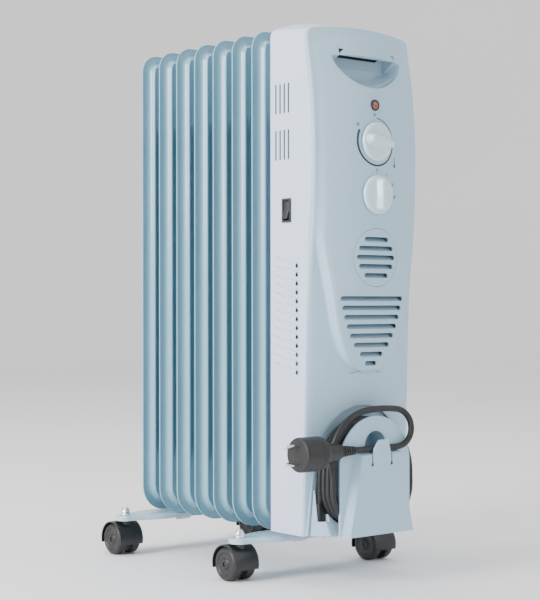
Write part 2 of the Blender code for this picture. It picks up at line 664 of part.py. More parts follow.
def build_back_and_base(look):
    """Back panel round the fin's two necks, and the slotted base."""
    inset = SHEET + GAP
    top = roof_path(ROOF_EDGE_REAR - 0.0005, ROOF_CENTRE_REAR - 0.0005, inset)
    half = HALF_HOUSING - inset
    base = HOUSING_BASE + 0.0030
    panel = prism("housing_back_panel", [(-half, base)] + top + [(half, base)], "Y",
                  HOUSING_REAR - 0.0018, HOUSING_REAR - 0.0003, look)
    holes = [circle((0, height), NECK_RADIUS + 2 * GAP, 16) for height in (LOWER_NECK_Z, UPPER_NECK_Z)]
    for row in range(6):
        for side in (-1, 1):
            holes.append(stadium((side * 0.034, 0.200 + row * 0.012), 0.040, 0.0050, 1))
    cut(panel, prisms("holes", holes, "Y", HOUSING_REAR - 0.01, HOUSING_REAR + 0.01))
    front = at_height(SEAM_LINE, HOUSING_BASE) + 0.004
    rear = HOUSING_REAR - 0.0003
    floor = box("housing_base_plate", (-half, front, HOUSING_BASE + 0.0010), (half, rear, base - GAP), look)
    slots = []
    for number in range(7):
        slots.append(stadium((0.0, rear - 0.008 - number * 0.006), 0.060, 0.0030, 1))
    cut(floor, prisms("slots", slots, "Z", HOUSING_BASE, base + 0.001))


# ---- Front cover ------------------------------------------------------------------------------
def cover_section(z, inset):
    """The cover's plan outline at height z, closed well behind the seam."""
    half = HALF_HOUSING - inset
    edge = at_height(EDGE_LINE, z) + inset
    plain = at_height(PLAIN_LINE, z) + inset
    shield = at_height(SHIELD_LINE, z) + inset
    outer = min(at_height(SHIELD_HALF, z), HALF_HOUSING - 0.0006) - inset * 0.9
    outer = max(outer, 0.0025)
    flank = min(at_height(SHIELD_FLANK, z), outer * 0.5)

    def plain_y(x):
        return plain + (edge - plain) * (x / half) ** 2

    def shield_y(x):
        return min(shield + x * x / (2 * SHIELD_CROWN), plain_y(x) - 0.00005)

    inner = outer - flank
    right = [(0.0, shield_y(0.0))]
    right += [(inner * share, shield_y(inner * share)) for share in (0.35, 0.70, 1.0)]
    right += [(outer, plain_y(outer)), (half, edge), (half, -0.080)]
    left = [(-x, y) for x, y in reversed(right[1:])]
    return left + right


def cover_body(name, inset):
    """The cover's outer form, or with an inset the room inside it."""
    heights = [SECTION_HEIGHTS[0] - inset * 4] + SECTION_HEIGHTS[1:]
    body = loft(name, [on_plane(cover_section(z, inset), "Z", z) for z in heights])
    half = HALF_HOUSING - inset
    roof = roof_path(ROOF_EDGE_FRONT, ROOF_CENTRE_FRONT, inset)
    outline = [(-half - 0.0001, 0.0400)] + [(x * 1.0005, z) for x, z in roof] + [(half + 0.0001, 0.0400)]
    return keep(body, prism("outline", outline, "Y", -0.200, -0.060))


def arch_outline(half, top, base, steps=6, foot=0.0):
    """A doorway outline in (x, z): sides under a half circle, wider by foot at the base."""
    return ([(-half - foot, base)] + list(reversed(arc((0, top - half), half, 0, 180, 2 * steps)))
            + [(half + foot, base)])


def scoop_outline(grow):
    """Half-moon outline of the handle scoop in (x, z)."""
    points = [(-SCOOP_HALF - grow, SCOOP_TOP + grow)]
    for step in range(1, 10):
        angle = math.pi * (1 - step / 10)
        points.append(((SCOOP_HALF + grow) * math.cos(angle),
                       SCOOP_TOP + grow - (SCOOP_DROP + 2 * grow) * math.sin(angle) ** 1.2))
    points.append((SCOOP_HALF + grow, SCOOP_TOP + grow))
    return points


def build_cover(looks):
    """Moulded front cover with its handle scoop, openings and winder recess."""
    cover = cover_body("front_cover", 0)
    cover.data.materials.append(looks["cover_plastic"])
    cut(cover, cover_body("room", PANEL_WALL))

    seam = [(y - GAP, z) for z, y in SEAM_LINE]
    seam[0] = (seam[0][0], 0.030)
    cut(cover, prism("behind", [(-0.070, 0.030)] + seam + [(-0.070, 0.660)], "X", -0.100, 0.100))

    floor = SCOOP_FLOOR_Y
    scoop_wall = loft("scoop_wall", [
        on_plane(scoop_outline(PANEL_WALL - SCOOP_TAPER), "Y", floor + PANEL_WALL),
        on_plane(scoop_outline(PANEL_WALL), "Y", -0.1200)])
    pocket_wall = box("pocket_wall", (-SCOOP_HALF + 0.009, -0.1215, SCOOP_TOP - 0.010),
                      (SCOOP_HALF - 0.009, floor + PANEL_WALL, SCOOP_TOP + SCOOP_LIP + PANEL_WALL))
    join(scoop_wall, pocket_wall)
    join(cover, keep(scoop_wall, cover_body("form", 0)))
    cut(cover, loft("scoop", [on_plane(scoop_outline(-SCOOP_TAPER), "Y", floor),
                              on_plane(scoop_outline(0.0044), "Y", -0.1420)]))
    cut(cover, box("pocket", (-SCOOP_HALF + 0.0125, -0.1205, SCOOP_TOP - 0.012),
                   (SCOOP_HALF - 0.0125, floor, SCOOP_TOP + SCOOP_LIP)))

    backing = prism("backing", arch_outline(0.0682, 0.2052, 0.0585, foot=0.0098), "Y", -0.1042,
                    RECESS_FLOOR + PANEL_WALL)
    join(cover, backing)
    recess = prism("recess", arch_outline(0.0660, 0.2030, 0.0400, foot=0.0120), "Y", -0.1400, RECESS_FLOOR)
    combine(cover, recess, "DIFFERENCE", "MANIFOLD")

    grille_disc = prism("disc", circle((0, GRILLE_Z), GRILLE_RADIUS - GAP, 28), "Y", -0.150, -0.110)
    insert = keep(copy_of(cover, "grille_insert"), grille_disc)
    cut(cover, prism("hole", circle((0, GRILLE_Z), GRILLE_RADIUS, 28), "Y", -0.150, -0.110))
    middle = (len(GRILLE_SLOTS) - 1) / 2
    slots = []
    for number, length in enumerate(GRILLE_SLOTS):
        slots.append(stadium((0, GRILLE_Z + (middle - number) * GRILLE_PITCH), length, SLOT_HEIGHT, 2))
    cut(insert, prisms("slots", slots, "Y", -0.150, -0.110))

    slots = []
    for number, length in enumerate(LOUVRE_LENGTHS):
        slots.append(stadium((0, LOUVRE_TOP - number * LOUVRE_PITCH), length, SLOT_HEIGHT, 2))
    slots.append(circle((0, THERMOSTAT_Z), KNOB_SHAFT + 3 * GAP, 12))
    slots.append(circle((0, SELECTOR_Z), KNOB_SHAFT + 3 * GAP, 12))
    slots.append(circle((0, LAMP_Z), LAMP_RADIUS - 0.0011, 14))
    cut(cover, prisms("slots", slots, "Y", -0.150, -0.1105))
    cut(cover, box("cable_hole", (GLAND_X - 0.0045, -0.110, GLAND_BASE + 0.006),
                   (GLAND_X + 0.0045, -0.095, GLAND_BASE + 0.015)))


# ---- Controls ---------------------------------------------------------------------------------
def build_knob(name, height, turn, look):
    """A round knob with a tapered grip, on a round shaft; turn tilts the grip from upright."""
    face = at_height(SHIELD_LINE, height) - 2 * GAP
    knob = turned(name, (0, 0, height), "Y",
                  [(face + 0.0120, KNOB_SHAFT), (face + 0.0001, KNOB_SHAFT), (face, KNOB_RADIUS - 0.0005),
                   (face - KNOB_DISC * 0.7, KNOB_RADIUS), (face - KNOB_DISC, KNOB_RADIUS - 0.0015)], 28, look)
    grip = loft("grip", [on_plane(stadium((0, 0), 0.0410, 0.0120, 2), "Y", face - KNOB_DISC + 0.0010),
                         on_plane(stadium((0, 0), 0.0370, 0.0075, 2), "Y", face - KNOB_DISC - KNOB_GRIP)])
    grip.location.z = height
    grip.rotation_euler.y = math.radians(turn)
    join(knob, grip)
    set_pivot(knob, (0, face, height))


def build_control(name, height, size, depth, look):
    """The electrical body behind a knob."""
    front = at_height(SHIELD_LINE, height) + PANEL_WALL + CONTROL_SETBACK
    half = size / 2
    body = box(name, (-half, front, height - half), (half, front + depth, height + half), look)
    bore = circle((0, height), KNOB_SHAFT + RUNNING, 12)
    cut(body, prism("bore", bore, "Y", front - 0.001, front + 0.0110))


def build_lamp(looks):
    """Pilot lamp: a lens through the cover and the holder behind it."""
    face = at_height(SHIELD_LINE, LAMP_Z)
    stem = LAMP_RADIUS - 0.0011 - GAP
    turned("pilot_lamp_lens", (0, 0, LAMP_Z), "Y",
           [(face + 0.0070, stem), (face - GAP + 0.0001, stem), (face - GAP, LAMP_RADIUS),
            (face - 0.0012, LAMP_RADIUS), (face - 0.0022, LAMP_RADIUS * 0.62)], 14, looks["red_lens"])
    turned("pilot_lamp_holder", (0, 0, LAMP_Z), "Y",
           [(face + 0.0073, 0.0048), (face + 0.0200, 0.0048), (face + 0.0240, 0.0030)], 10,
           looks["dark_plastic"])


def build_fan_switch(looks):
    """Rocker switch in the left wall; at rest its lower half stands out."""
    skin = -HALF_HOUSING - GAP
    wide, tall = SWITCH_WIDTH / 2, SWITCH_HEIGHT / 2
    rim = 0.0012
    bezel = box("fan_switch_bezel", (skin - 0.0016, SWITCH_Y - wide - rim, SWITCH_Z - tall - rim),
                (skin, SWITCH_Y + wide + rim, SWITCH_Z + tall + rim), looks["dark_plastic"])
    join(bezel, box("case", (skin - 0.0010, SWITCH_Y - wide, SWITCH_Z - tall),
                    (skin + 0.0140, SWITCH_Y + wide, SWITCH_Z + tall)))
    cut(bezel, box("room", (skin - 0.0100, SWITCH_Y - wide + rim, SWITCH_Z - tall + rim),
                   (skin + 0.0090, SWITCH_Y + wide - rim, SWITCH_Z + tall - rim)))
    pivot_x = skin - 0.0012
    reach = tall - rim - 0.0010
    rise = reach * math.tan(math.radians(ROCKER_TILT))
    profile = [(pivot_x - rise, reach), (pivot_x, 0), (pivot_x - rise, -reach),
               (pivot_x + 0.0040, -reach * 0.8), (pivot_x + 0.0070, 0), (pivot_x + 0.0040, reach * 0.8)]
    side = wide - rim - 0.0005
    rocker = loft("fan_rocker", [[Vector((x, SWITCH_Y - side, SWITCH_Z + z)) for x, z in profile],
                                 [Vector((x, SWITCH_Y + side, SWITCH_Z + z)) for x, z in profile]],
                  looks["dark_plastic"])
    set_pivot(rocker, (pivot_x, SWITCH_Y, SWITCH_Z))
    rocker.rotation_euler.y = math.radians(ROCKER_TILT)


# ---- Inside the housing -----------------------------------------------------------------------
def build_fan(looks):
    """Axial fan with its motor, and the heater grid in front of it."""
    half = FAN_SIZE / 2
    rear = FAN_FRONT + FAN_DEPTH
    frame = box("fan_frame", (-half, FAN_FRONT, FAN_Z - half), (half, rear, FAN_Z + half),
                looks["dark_plastic"])
    cut(frame, prism("duct", circle((0, FAN_Z), FAN_DUCT, 24), "Y", FAN_FRONT - 0.001, rear - 0.0030))
    windows = []
    for quarter in range(4):
        middle = 45 + 90 * quarter
        windows.append(arc((0, FAN_Z), FAN_DUCT, middle - 39, middle + 39, 5)
                       + arc((0, FAN_Z), MOTOR_RADIUS + 0.003, middle + 33, middle - 33, 2))
    windows.append(circle((0, FAN_Z), FAN_SHAFT + 2 * RUNNING, 10))
    cut(frame, prisms("windows", windows, "Y", rear - 0.0040, rear + 0.001))
    turned("fan_motor", (0, 0, FAN_Z), "Y",
           [(rear + GAP, MOTOR_RADIUS), (rear + MOTOR_LENGTH - 0.002, MOTOR_RADIUS),
            (rear + MOTOR_LENGTH, MOTOR_RADIUS * 0.6)], 14, looks["steel"])
    hub_rear = rear - 0.0036
    impeller = turned("fan_impeller", (0, 0, FAN_Z), "Y",
                      [(FAN_FRONT + 0.002, 0.0130), (hub_rear, 0.0145), (hub_rear + 0.0001, FAN_SHAFT),
                       (rear - 0.0002, FAN_SHAFT)], 15, looks["dark_plastic"])
    for number in range(BLADE_COUNT):
        angle = 2 * math.pi * number / BLADE_COUNT
        loops = []
        for radius, twist in BLADE_STATIONS:
            chord = 0.0060 + radius * 0.16
            loop = []
            thin = BLADE_HALF
            for along, across in ((-chord, -thin), (chord, -thin), (chord, thin), (-chord, thin)):
                tangent = along * math.cos(twist) - across * math.sin(twist)
                depth = along * math.sin(twist) + across * math.cos(twist)
                x = radius * math.cos(angle) - tangent * math.sin(angle)
                z = radius * math.sin(angle) + tangent * math.cos(angle)
                loop.append(Vector((x, FAN_FRONT + 0.0092 + depth * 0.72, FAN_Z + z)))
            loops.append(loop)
        join(impeller, loft("blade", loops))
    set_pivot(impeller, (0, FAN_FRONT + 0.009, FAN_Z))

    grid = box("fan_heater_grid", (-0.036, FAN_FRONT - GRID_DEPTH, FAN_Z - 0.030),
               (0.036, FAN_FRONT - GAP, FAN_Z + 0.030), looks["ceramic"])
    cells = []
    for row in range(3):
        middle = FAN_Z + (row - 1) * GRID_CELL_PITCH
        cells.append([(-0.031, middle - 0.0072), (0.031, middle - 0.0072), (0.031, middle + 0.0072),
                      (-0.031, middle + 0.0072)])
    cut(grid, prisms("cells", cells, "Y", FAN_FRONT - GRID_DEPTH - 0.002, FAN_FRONT + 0.001))


def build_inside(looks):
    """Thermal cut-out on the back panel and the mains terminal block on the base."""
    back = HOUSING_REAR - 0.0018 - GAP
    turned("thermal_cutout", (0.050, 0, 0.165), "Y",
           [(back, 0.0080), (back - 0.0050, 0.0080), (back - 0.0051, 0.0055), (back - 0.0080, 0.0055)], 14,
           looks["ceramic"])
    base = HOUSING_BASE + 0.0030
    block = box("terminal_block", (0.034, -0.078, base), (0.070, -0.060, base + 0.014),
                looks["white_plastic"])
    wells = [circle((0.040 + number * 0.012, -0.069), 0.0028, 8) for number in range(3)]
    cut(block, prisms("wells", wells, "Z", base + 0.006, base + 0.020))


# ---- Cord and winder --------------------------------------------------------------------------
def coil_outline(offset):
    """The turns' closed path in (x, z), moved outwards by offset."""
    half = COIL_HALF + offset
    corner = COIL_CORNER + offset
    low = COIL_BASE + COIL_CORNER
    inner = COIL_HALF - COIL_CORNER
    return (arc((0, COIL_CENTRE_Z), half, 0, 180, 12) + arc((-inner, low), corner, 180, 270, 4)
            + arc((inner, low), corner, 270, 360, 4))


def trapezium(top_half, base_half, top, base):
    """Outline in (x, z), narrower at the top."""
    return [(-top_half, top), (-base_half, base), (base_half, base), (top_half, top)]


def build_winder(looks):
    """Core on the cover and the clip plate in front of it."""
    core_front = PLATE_FRONT + PLATE_WALL + GAP
    room = CORD_DIAMETER / 2 + 2 * GAP
    core_rear = RECESS_FLOOR - GAP
    core = prism("cord_winder_core", coil_outline(-room - 0.008), "Y", core_front, core_rear,
                 looks["cover_plastic"])
    low = [(-0.0745, core_rear), (-0.0590, SKIRT_FRONT), (0.0590, SKIRT_FRONT), (0.0745, core_rear)]
    high = [(-0.0690, core_rear), (-0.0680, -0.1050), (0.0680, -0.1050), (0.0690, core_rear)]
    skirt = loft("skirt", [on_plane(low, "Z", HOUSING_BASE + GAP), on_plane(high, "Z", 0.1100)])
    cut(skirt, prism("turns", coil_outline(room + GAP), "Y", -0.140, COIL_REAR + 2 * GAP))
    cut(skirt, box("gland_room", (GLAND_X - GLAND_HALF - 2 * GAP, -0.140, GLAND_BASE - 2 * GAP),
                   (GLAND_X + GLAND_HALF + 2 * GAP, RECESS_FLOOR + 0.001, GLAND_TIP)))
    join(core, skirt)
    foot = box("foot", (-0.030, core_front, HOUSING_BASE + GAP),
               (0.030, core_rear, COIL_BASE - CORD_DIAMETER / 2 - 3 * GAP))
    join(core, foot)
    cut(core, prism("hollow", arch_outline(0.0380, 0.1650, 0.0850, 3), "Y", core_front + WINDER_WALL,
                    RECESS_FLOOR + 0.001))

    plate_outline = arch_outline(PLATE_HALF, PLATE_TOP, PLATE_BASE, 7)
    plate = prism("cord_winder_plate", plate_outline, "Y", PLATE_FRONT, PLATE_FRONT + PLATE_WALL,
                  looks["cover_plastic"])
    bulge = loft("bulge", [
        on_plane(trapezium(0.0300, 0.0490, LEDGE_Z - 0.001, PLATE_BASE), "Y", BULGE_FRONT),
        on_plane(trapezium(0.0350, 0.0535, LEDGE_Z, PLATE_BASE), "Y", PLATE_FRONT + 0.001)])
    join(plate, bulge)
    room_base = PLATE_BASE + 0.003
    cut(plate, loft("bulge_room", [
        on_plane(trapezium(0.0280, 0.0460, LEDGE_Z - 0.004, room_base), "Y", BULGE_FRONT + PLATE_WALL),
        on_plane(trapezium(0.0320, 0.0490, LEDGE_Z - 0.003, room_base), "Y",
                 PLATE_FRONT + PLATE_WALL + 0.001)]))
    slots = [rounded_box((side * RELIEF_X - RELIEF_HALF, RELIEF_BASE),
                         (side * RELIEF_X + RELIEF_HALF, LEDGE_Z + 0.004), (0.0009, 0.0001), 1)
             for side in (-1, 1)]
    cut(plate, prisms("relief", slots, "Y", BULGE_FRONT - 0.001, PLATE_FRONT - 0.0005))
    root = [(-CLIP_HALF, BULGE_FRONT), (CLIP_HALF, BULGE_FRONT),
            (CLIP_HALF, BULGE_FRONT + CLIP_WALL), (-CLIP_HALF, BULGE_FRONT + CLIP_WALL)]
    tip = [(0.75 * x, y - CLIP_LEAN) for x, y in root]
    join(plate, loft("tab", [on_plane(root, "Z", CLIP_ROOT), on_plane(tip, "Z", CLIP_TOP)]))


def smooth_route(points, count):
    """Evenly spaced points on one smooth curve through the route's points."""
    points = [Vector(point) for point in points]
    fine = []
    for index in range(len(points) - 1):
        before = points[max(index - 1, 0)]
        start, end = points[index], points[index + 1]
        after = points[min(index + 2, len(points) - 1)]
        for step in range(12):
            t = step / 12
            square = 2 * before - 5 * start + 4 * end - after
            cube = 3 * start - before - 3 * end + after
            fine.append(0.5 * (2 * start + (end - before) * t + square * t ** 2 + cube * t ** 3))
    fine.append(points[-1])
    lengths = [0.0]
    for near, far in zip(fine, fine[1:]):
        lengths.append(lengths[-1] + (far - near).length)
    wanted = np.linspace(0, lengths[-1], count)
    return [Vector([float(np.interp(w, lengths, [p[k] for p in fine])) for k in range(3)]) for w in wanted]


# The last stretch of the cord: off the coil's left side, over the plate's top, round its right
# edge and back through the clip to the plug.
LEAD_ROUTE = [(-0.0620, -0.1297, 0.1180), (-0.0620, -0.1297, 0.1225), (-0.0628, -0.1293, 0.1330),
              (-0.0632, -0.1287, 0.1460), (-0.0605, -0.1286, 0.1600), (-0.0530, -0.1292, 0.1745),
              (-0.0410, -0.1302, 0.1868), (-0.0260, -0.1310, 0.1948), (-0.0090, -0.1320, 0.1985),
              (0.0100, -0.1334, 0.1995), (0.0290, -0.1350, 0.1985), (0.0385, -0.1360, 0.1965),
              (0.0457, -0.1370, 0.1918), (0.0505, -0.1380, 0.1848), (0.0521, -0.1388, 0.1768),
              (0.0505, -0.1394, 0.1688), (0.0457, -0.1396, 0.1618), (0.0385, -0.1392, 0.1569),
              (0.0290, -0.1386, 0.1550), (0.0120, -0.1380, 0.1548), (-0.0050, -0.1381, 0.1549),
              (-0.0200, -0.1395, 0.1550), (-0.0330, PLUG_Y, LEAD_Z), (PLUG_END + GAP, PLUG_Y, LEAD_Z)]


def build_cord(looks):
    """Cord gland, the wound turns as one solid, the free stretch and the plug."""
    radius = CORD_DIAMETER / 2
    gland = box("cord_gland", (GLAND_X - GLAND_HALF, GLAND_Y - GLAND_DEPTH, GLAND_BASE),
                (GLAND_X + GLAND_HALF, RECESS_FLOOR - GAP, GLAND_BASE + GLAND_FOOT), looks["cord_rubber"])
    join(gland, turned("cone", (GLAND_X, GLAND_Y, 0), "Z",
                       [(GLAND_BASE + GLAND_FOOT - 0.001, GLAND_DEPTH - 0.0001), (GLAND_TIP, radius + GAP)],
                       10))
    stub = box("stub", (GLAND_X - 0.0040, RECESS_FLOOR - 0.001, GLAND_BASE + 0.0065),
               (GLAND_X + 0.0040, RECESS_FLOOR + 0.0080, GLAND_BASE + 0.0145))
    join(gland, stub)

    coil = prism("cord_coil", coil_outline(radius), "Y", COIL_FRONT, COIL_REAR, looks["cord_rubber"])
    cut(coil, prism("middle", coil_outline(-radius), "Y", COIL_FRONT - 0.01, COIL_REAR + 0.01))
    cut(coil, box("gland_room", (-0.080, GLAND_Y - GLAND_DEPTH - GAP, 0.050),
                  (GLAND_X + GLAND_HALF + 3 * GAP, COIL_REAR + 0.01, GLAND_TIP + GAP)))
    start = LEAD_ROUTE[0]
    cut(coil, box("lead_room", (-0.080, COIL_FRONT - 0.01, start[2] - GAP),
                  (start[0] + radius + 3 * GAP, start[1] + radius + 5 * GAP, 0.1740)))

    route = smooth_route(LEAD_ROUTE, 34)
    curve = bpy.data.curves.new("cord_lead", "CURVE")
    curve.dimensions = "3D"
    curve.bevel_depth = radius
    curve.bevel_resolution = 2
    curve.use_fill_caps = True
    spline = curve.splines.new("POLY")
    spline.points.add(len(route) - 1)
    for point, place in zip(spline.points, route):
        point.co = (*place, 1.0)
    curve.materials.append(looks["cord_rubber"])
    lead = bpy.data.objects.new("cord_lead", curve)
    bpy.context.collection.objects.link(lead)

    plug = turned("plug", (PLUG_END, PLUG_Y, LEAD_Z), "X",
                  [(0, radius + 0.0010), (-0.0230, radius + 0.0030), (-0.0240, 0.0085), (-0.0480, 0.0130),
                   (-0.0510, PLUG_RADIUS - 0.0020), (-0.0530, PLUG_RADIUS), (-0.0830, PLUG_RADIUS),
                   (-0.0845, PLUG_RADIUS - 0.0015)], 20, looks["cord_rubber"])
    for side in (-1, 1):
        pin = [(0, PIN_RADIUS), (-PIN_LENGTH, PIN_RADIUS), (-PIN_LENGTH - 0.001, PIN_RADIUS * 0.6)]
        join(plug, turned("pin", (PLUG_END - 0.0835, PLUG_Y, LEAD_Z + side * PIN_SPACING / 2), "X", pin, 8))


# ---- Everything -------------------------------------------------------------------------------
CORD_PIECES = ("cord_gland", "cord_coil", "cord_lead", "plug")


def shade_round(body):
    """Shade a solid smooth except across its real edges."""
    body.data.shade_smooth()
    body.data.set_sharp_from_angle(angle=SHARP_ANGLE)


def place_on_floor():
    """Stand the wheels on the floor, with the footprint's centre, without the cord, at the origin."""
    corners = []
    graph = bpy.context.evaluated_depsgraph_get()
    for body in bpy.data.objects:
        if body.name not in CORD_PIECES:
            mesh = body.evaluated_get(graph).data
            corners += [body.matrix_world @ vertex.co for vertex in mesh.vertices]
    depths = [corner.y for corner in corners]
    middle = (min(depths) + max(depths)) / 2
    floor = min(corner.z for corner in corners)
    for body in bpy.data.objects:
        body.location.y -= middle
        body.location.z -= floor


def main():
    for body in list(bpy.data.objects):
        bpy.data.objects.remove(body)
    looks = {
        "fin_paint": material("fin_paint", (0.56, 0.66, 0.70), 0.35),
        "shell_paint": material("shell_paint", (0.75, 0.79, 0.86), 0.40),
        "cover_plastic": material("cover_plastic", (0.62, 0.72, 0.78), 0.38),
        "foot_paint": material("foot_paint", (0.70, 0.78, 0.82), 0.35),
        "caster_plastic": material("caster_plastic", (0.02, 0.02, 0.02), 0.40),
        "tyre": material("tyre", (0.025, 0.025, 0.025), 0.50),
        "chrome": material("chrome", (0.80, 0.82, 0.84), 0.10, 1.0),
        "steel": material("steel", (0.60, 0.61, 0.62), 0.35, 1.0),
        "dark_plastic": material("dark_plastic", (0.02, 0.02, 0.02), 0.45),
        "red_lens": material("red_lens", (0.45, 0.08, 0.05), 0.15),
        "white_knob": material("white_knob", (0.80, 0.86, 0.88), 0.25),
        "white_plastic": material("white_plastic", (0.80, 0.80, 0.78), 0.45),
        "ceramic": material("ceramic", (0.78, 0.76, 0.70), 0.60),
        "cord_rubber": material("cord_rubber", (0.015, 0.015, 0.015), 0.55),
    }
    build_fins(looks["fin_paint"])
    build_heating(looks)
    build_bracket("front_feet_bracket", FRONT_FEET_Y, -0.0275, looks)
    build_bracket("rear_feet_bracket", REAR_FEET_Y, REAR_FIN_Y - FIN_PITCH / 2, looks)
    for place, x, y in (("front_left", -CASTER_SPREAD, FRONT_FEET_Y),
                        ("front_right", CASTER_SPREAD, FRONT_FEET_Y),
                        ("rear_left", -CASTER_SPREAD, REAR_FEET_Y),
                        ("rear_right", CASTER_SPREAD, REAR_FEET_Y)):
        build_caster(place, x, y, looks)
    build_shell(looks["shell_paint"])
    build_back_and_base(looks["shell_paint"])
    build_cover(looks)
    build_knob("thermostat_knob", THERMOSTAT_Z, -80, looks["white_knob"])
    build_knob("selector_knob", SELECTOR_Z, 0, looks["white_knob"])
    build_control("thermostat_body", THERMOSTAT_Z, 0.034, 0.020, looks["ceramic"])
    build_control("selector_switch_body", SELECTOR_Z, 0.024, 0.018, looks["dark_plastic"])
    build_lamp(looks)
    build_fan_switch(looks)
    build_fan(looks)
    build_inside(looks)
    build_winder(looks)
    build_cord(looks)
    for body in bpy.data.objects:
        if body.type == "MESH":
            shade_round(body)
    bpy.context.view_layer.update()
    place_on_floor()


main()
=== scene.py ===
"""Oil filled radiator heater: the finished surfaces, materials, light and camera.

Laid out as an add-on and run as a script. Every piece is made in design space, where y = 0 is the
middle of the front fin, and moved into the frame when it is finished. Units are metres.
"""
import math

import bmesh
import bpy
import numpy as np
from mathutils import Matrix, Vector


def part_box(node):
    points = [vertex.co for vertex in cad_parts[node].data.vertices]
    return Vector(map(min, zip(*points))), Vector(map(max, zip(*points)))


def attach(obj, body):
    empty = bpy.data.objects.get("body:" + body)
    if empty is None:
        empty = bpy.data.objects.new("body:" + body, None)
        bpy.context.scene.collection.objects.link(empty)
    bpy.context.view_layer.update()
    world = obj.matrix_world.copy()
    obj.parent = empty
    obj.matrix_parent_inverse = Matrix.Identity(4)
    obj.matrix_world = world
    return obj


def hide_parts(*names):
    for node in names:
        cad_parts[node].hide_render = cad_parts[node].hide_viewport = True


bl_info = {
    "name": "Oil Filled Radiator Heater",
    "version": (1, 0, 0),
    "blender": (4, 5, 0),
    "location": "View3D > Sidebar > Heater",
    "description": "Builds the visible surfaces of an oil filled radiator heater round its frame",
    "category": "Object",
}

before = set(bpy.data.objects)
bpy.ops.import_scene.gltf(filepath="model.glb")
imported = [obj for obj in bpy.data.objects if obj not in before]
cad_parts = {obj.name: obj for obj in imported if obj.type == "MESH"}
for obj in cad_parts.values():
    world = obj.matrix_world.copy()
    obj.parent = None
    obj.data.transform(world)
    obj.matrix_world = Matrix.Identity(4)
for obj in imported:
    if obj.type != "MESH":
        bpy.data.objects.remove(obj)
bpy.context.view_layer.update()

# ---- Places taken from the frame --------------------------------------------------------------
HOUSING_REAR = -0.042
FRONT_FIN_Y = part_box("housing_side_shell")[1].y - HOUSING_REAR
FIN_BASE, FIN_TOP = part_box("fin_2")[0].z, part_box("fin_2")[1].z
HALF_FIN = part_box("fin_2")[1].x
FIN_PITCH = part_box("fin_3")[1].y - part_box("fin_2")[1].y
HALF_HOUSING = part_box("housing_side_shell")[1].x
HOUSING_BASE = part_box("housing_side_shell")[0].z
FRONT_FEET = (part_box("front_feet_bracket")[0].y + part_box("front_feet_bracket")[1].y) / 2 - FRONT_FIN_Y
REAR_FEET = (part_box("rear_feet_bracket")[0].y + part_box("rear_feet_bracket")[1].y) / 2 - FRONT_FIN_Y
BRACKET_BASE, BRACKET_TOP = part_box("front_feet_bracket")[0].z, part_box("front_feet_bracket")[1].z
FINS = [f"fin_{number}" for number in range(1, 8)]
PLACES = ["front_left", "front_right", "rear_left", "rear_right"]

# ---- Shape lines, each a list of (height, value) ----------------------------------------------
SEAM_LINE = [(0.057, -0.0975), (0.170, -0.1010), (0.280, -0.1055), (0.400, -0.1100), (0.450, -0.1145),
             (0.500, -0.1155), (0.560, -0.1115), (0.610, -0.1040), (0.660, -0.1010)]
EDGE_LINE = [(0.057, -0.1010), (0.200, -0.1045), (0.300, -0.1075), (0.350, -0.1110), (0.400, -0.1165),
             (0.440, -0.1190), (0.490, -0.1200), (0.535, -0.1182), (0.575, -0.1143), (0.620, -0.1070),
             (0.660, -0.1040)]
PLAIN_LINE = [(0.057, -0.1050), (0.120, -0.1075), (0.200, -0.1115), (0.245, -0.1180), (0.300, -0.1220),
              (0.360, -0.1245), (0.420, -0.1260), (0.550, -0.1250), (0.610, -0.1180), (0.660, -0.1080)]
SHIELD_LINE = [(0.057, -0.1000), (0.200, -0.1050), (0.239, -0.1165), (0.240, -0.1180), (0.2438, -0.1240),
               (0.260, -0.1275), (0.291, -0.1315), (0.330, -0.1345), (0.3726, -0.1370), (0.440, -0.1370),
               (0.505, -0.1355), (0.550, -0.1330), (0.575, -0.1295), (0.600, -0.1260), (0.622, -0.1195),
               (0.634, -0.1120), (0.660, -0.1090)]
SHIELD_HALF = [(0.240, 0.0040), (0.2438, 0.0170), (0.248, 0.0265), (0.260, 0.0385), (0.291, 0.0520),
               (0.330, 0.0610), (0.356, 0.0675), (0.380, 0.0745), (0.400, 0.0785), (0.420, 0.0794)]
SHIELD_FLANK = [(0.240, 0.0030), (0.356, 0.0040), (0.380, 0.0070), (0.420, 0.0125)]
SHIELD_CROWN = 0.200
SHIELD_BASE = 0.240
ROOF_REAR = (0.6395, 0.6530)      # roof height over the walls and on the middle line
ROOF_FRONT = (0.6325, 0.6370)
ROOF_RADIUS = 0.012
SHEET = 0.0012
PANEL_WALL = 0.0022
GAP = 0.0003

THERMOSTAT_Z = 0.505
SELECTOR_Z = 0.4445
LAMP_Z = 0.547
GRILLE_Z = 0.3726
RECESS_FLOOR = -0.1030
PLATE_FRONT = -0.1335
LEDGE_Z = 0.1505
BULGE_FRONT = -0.1450

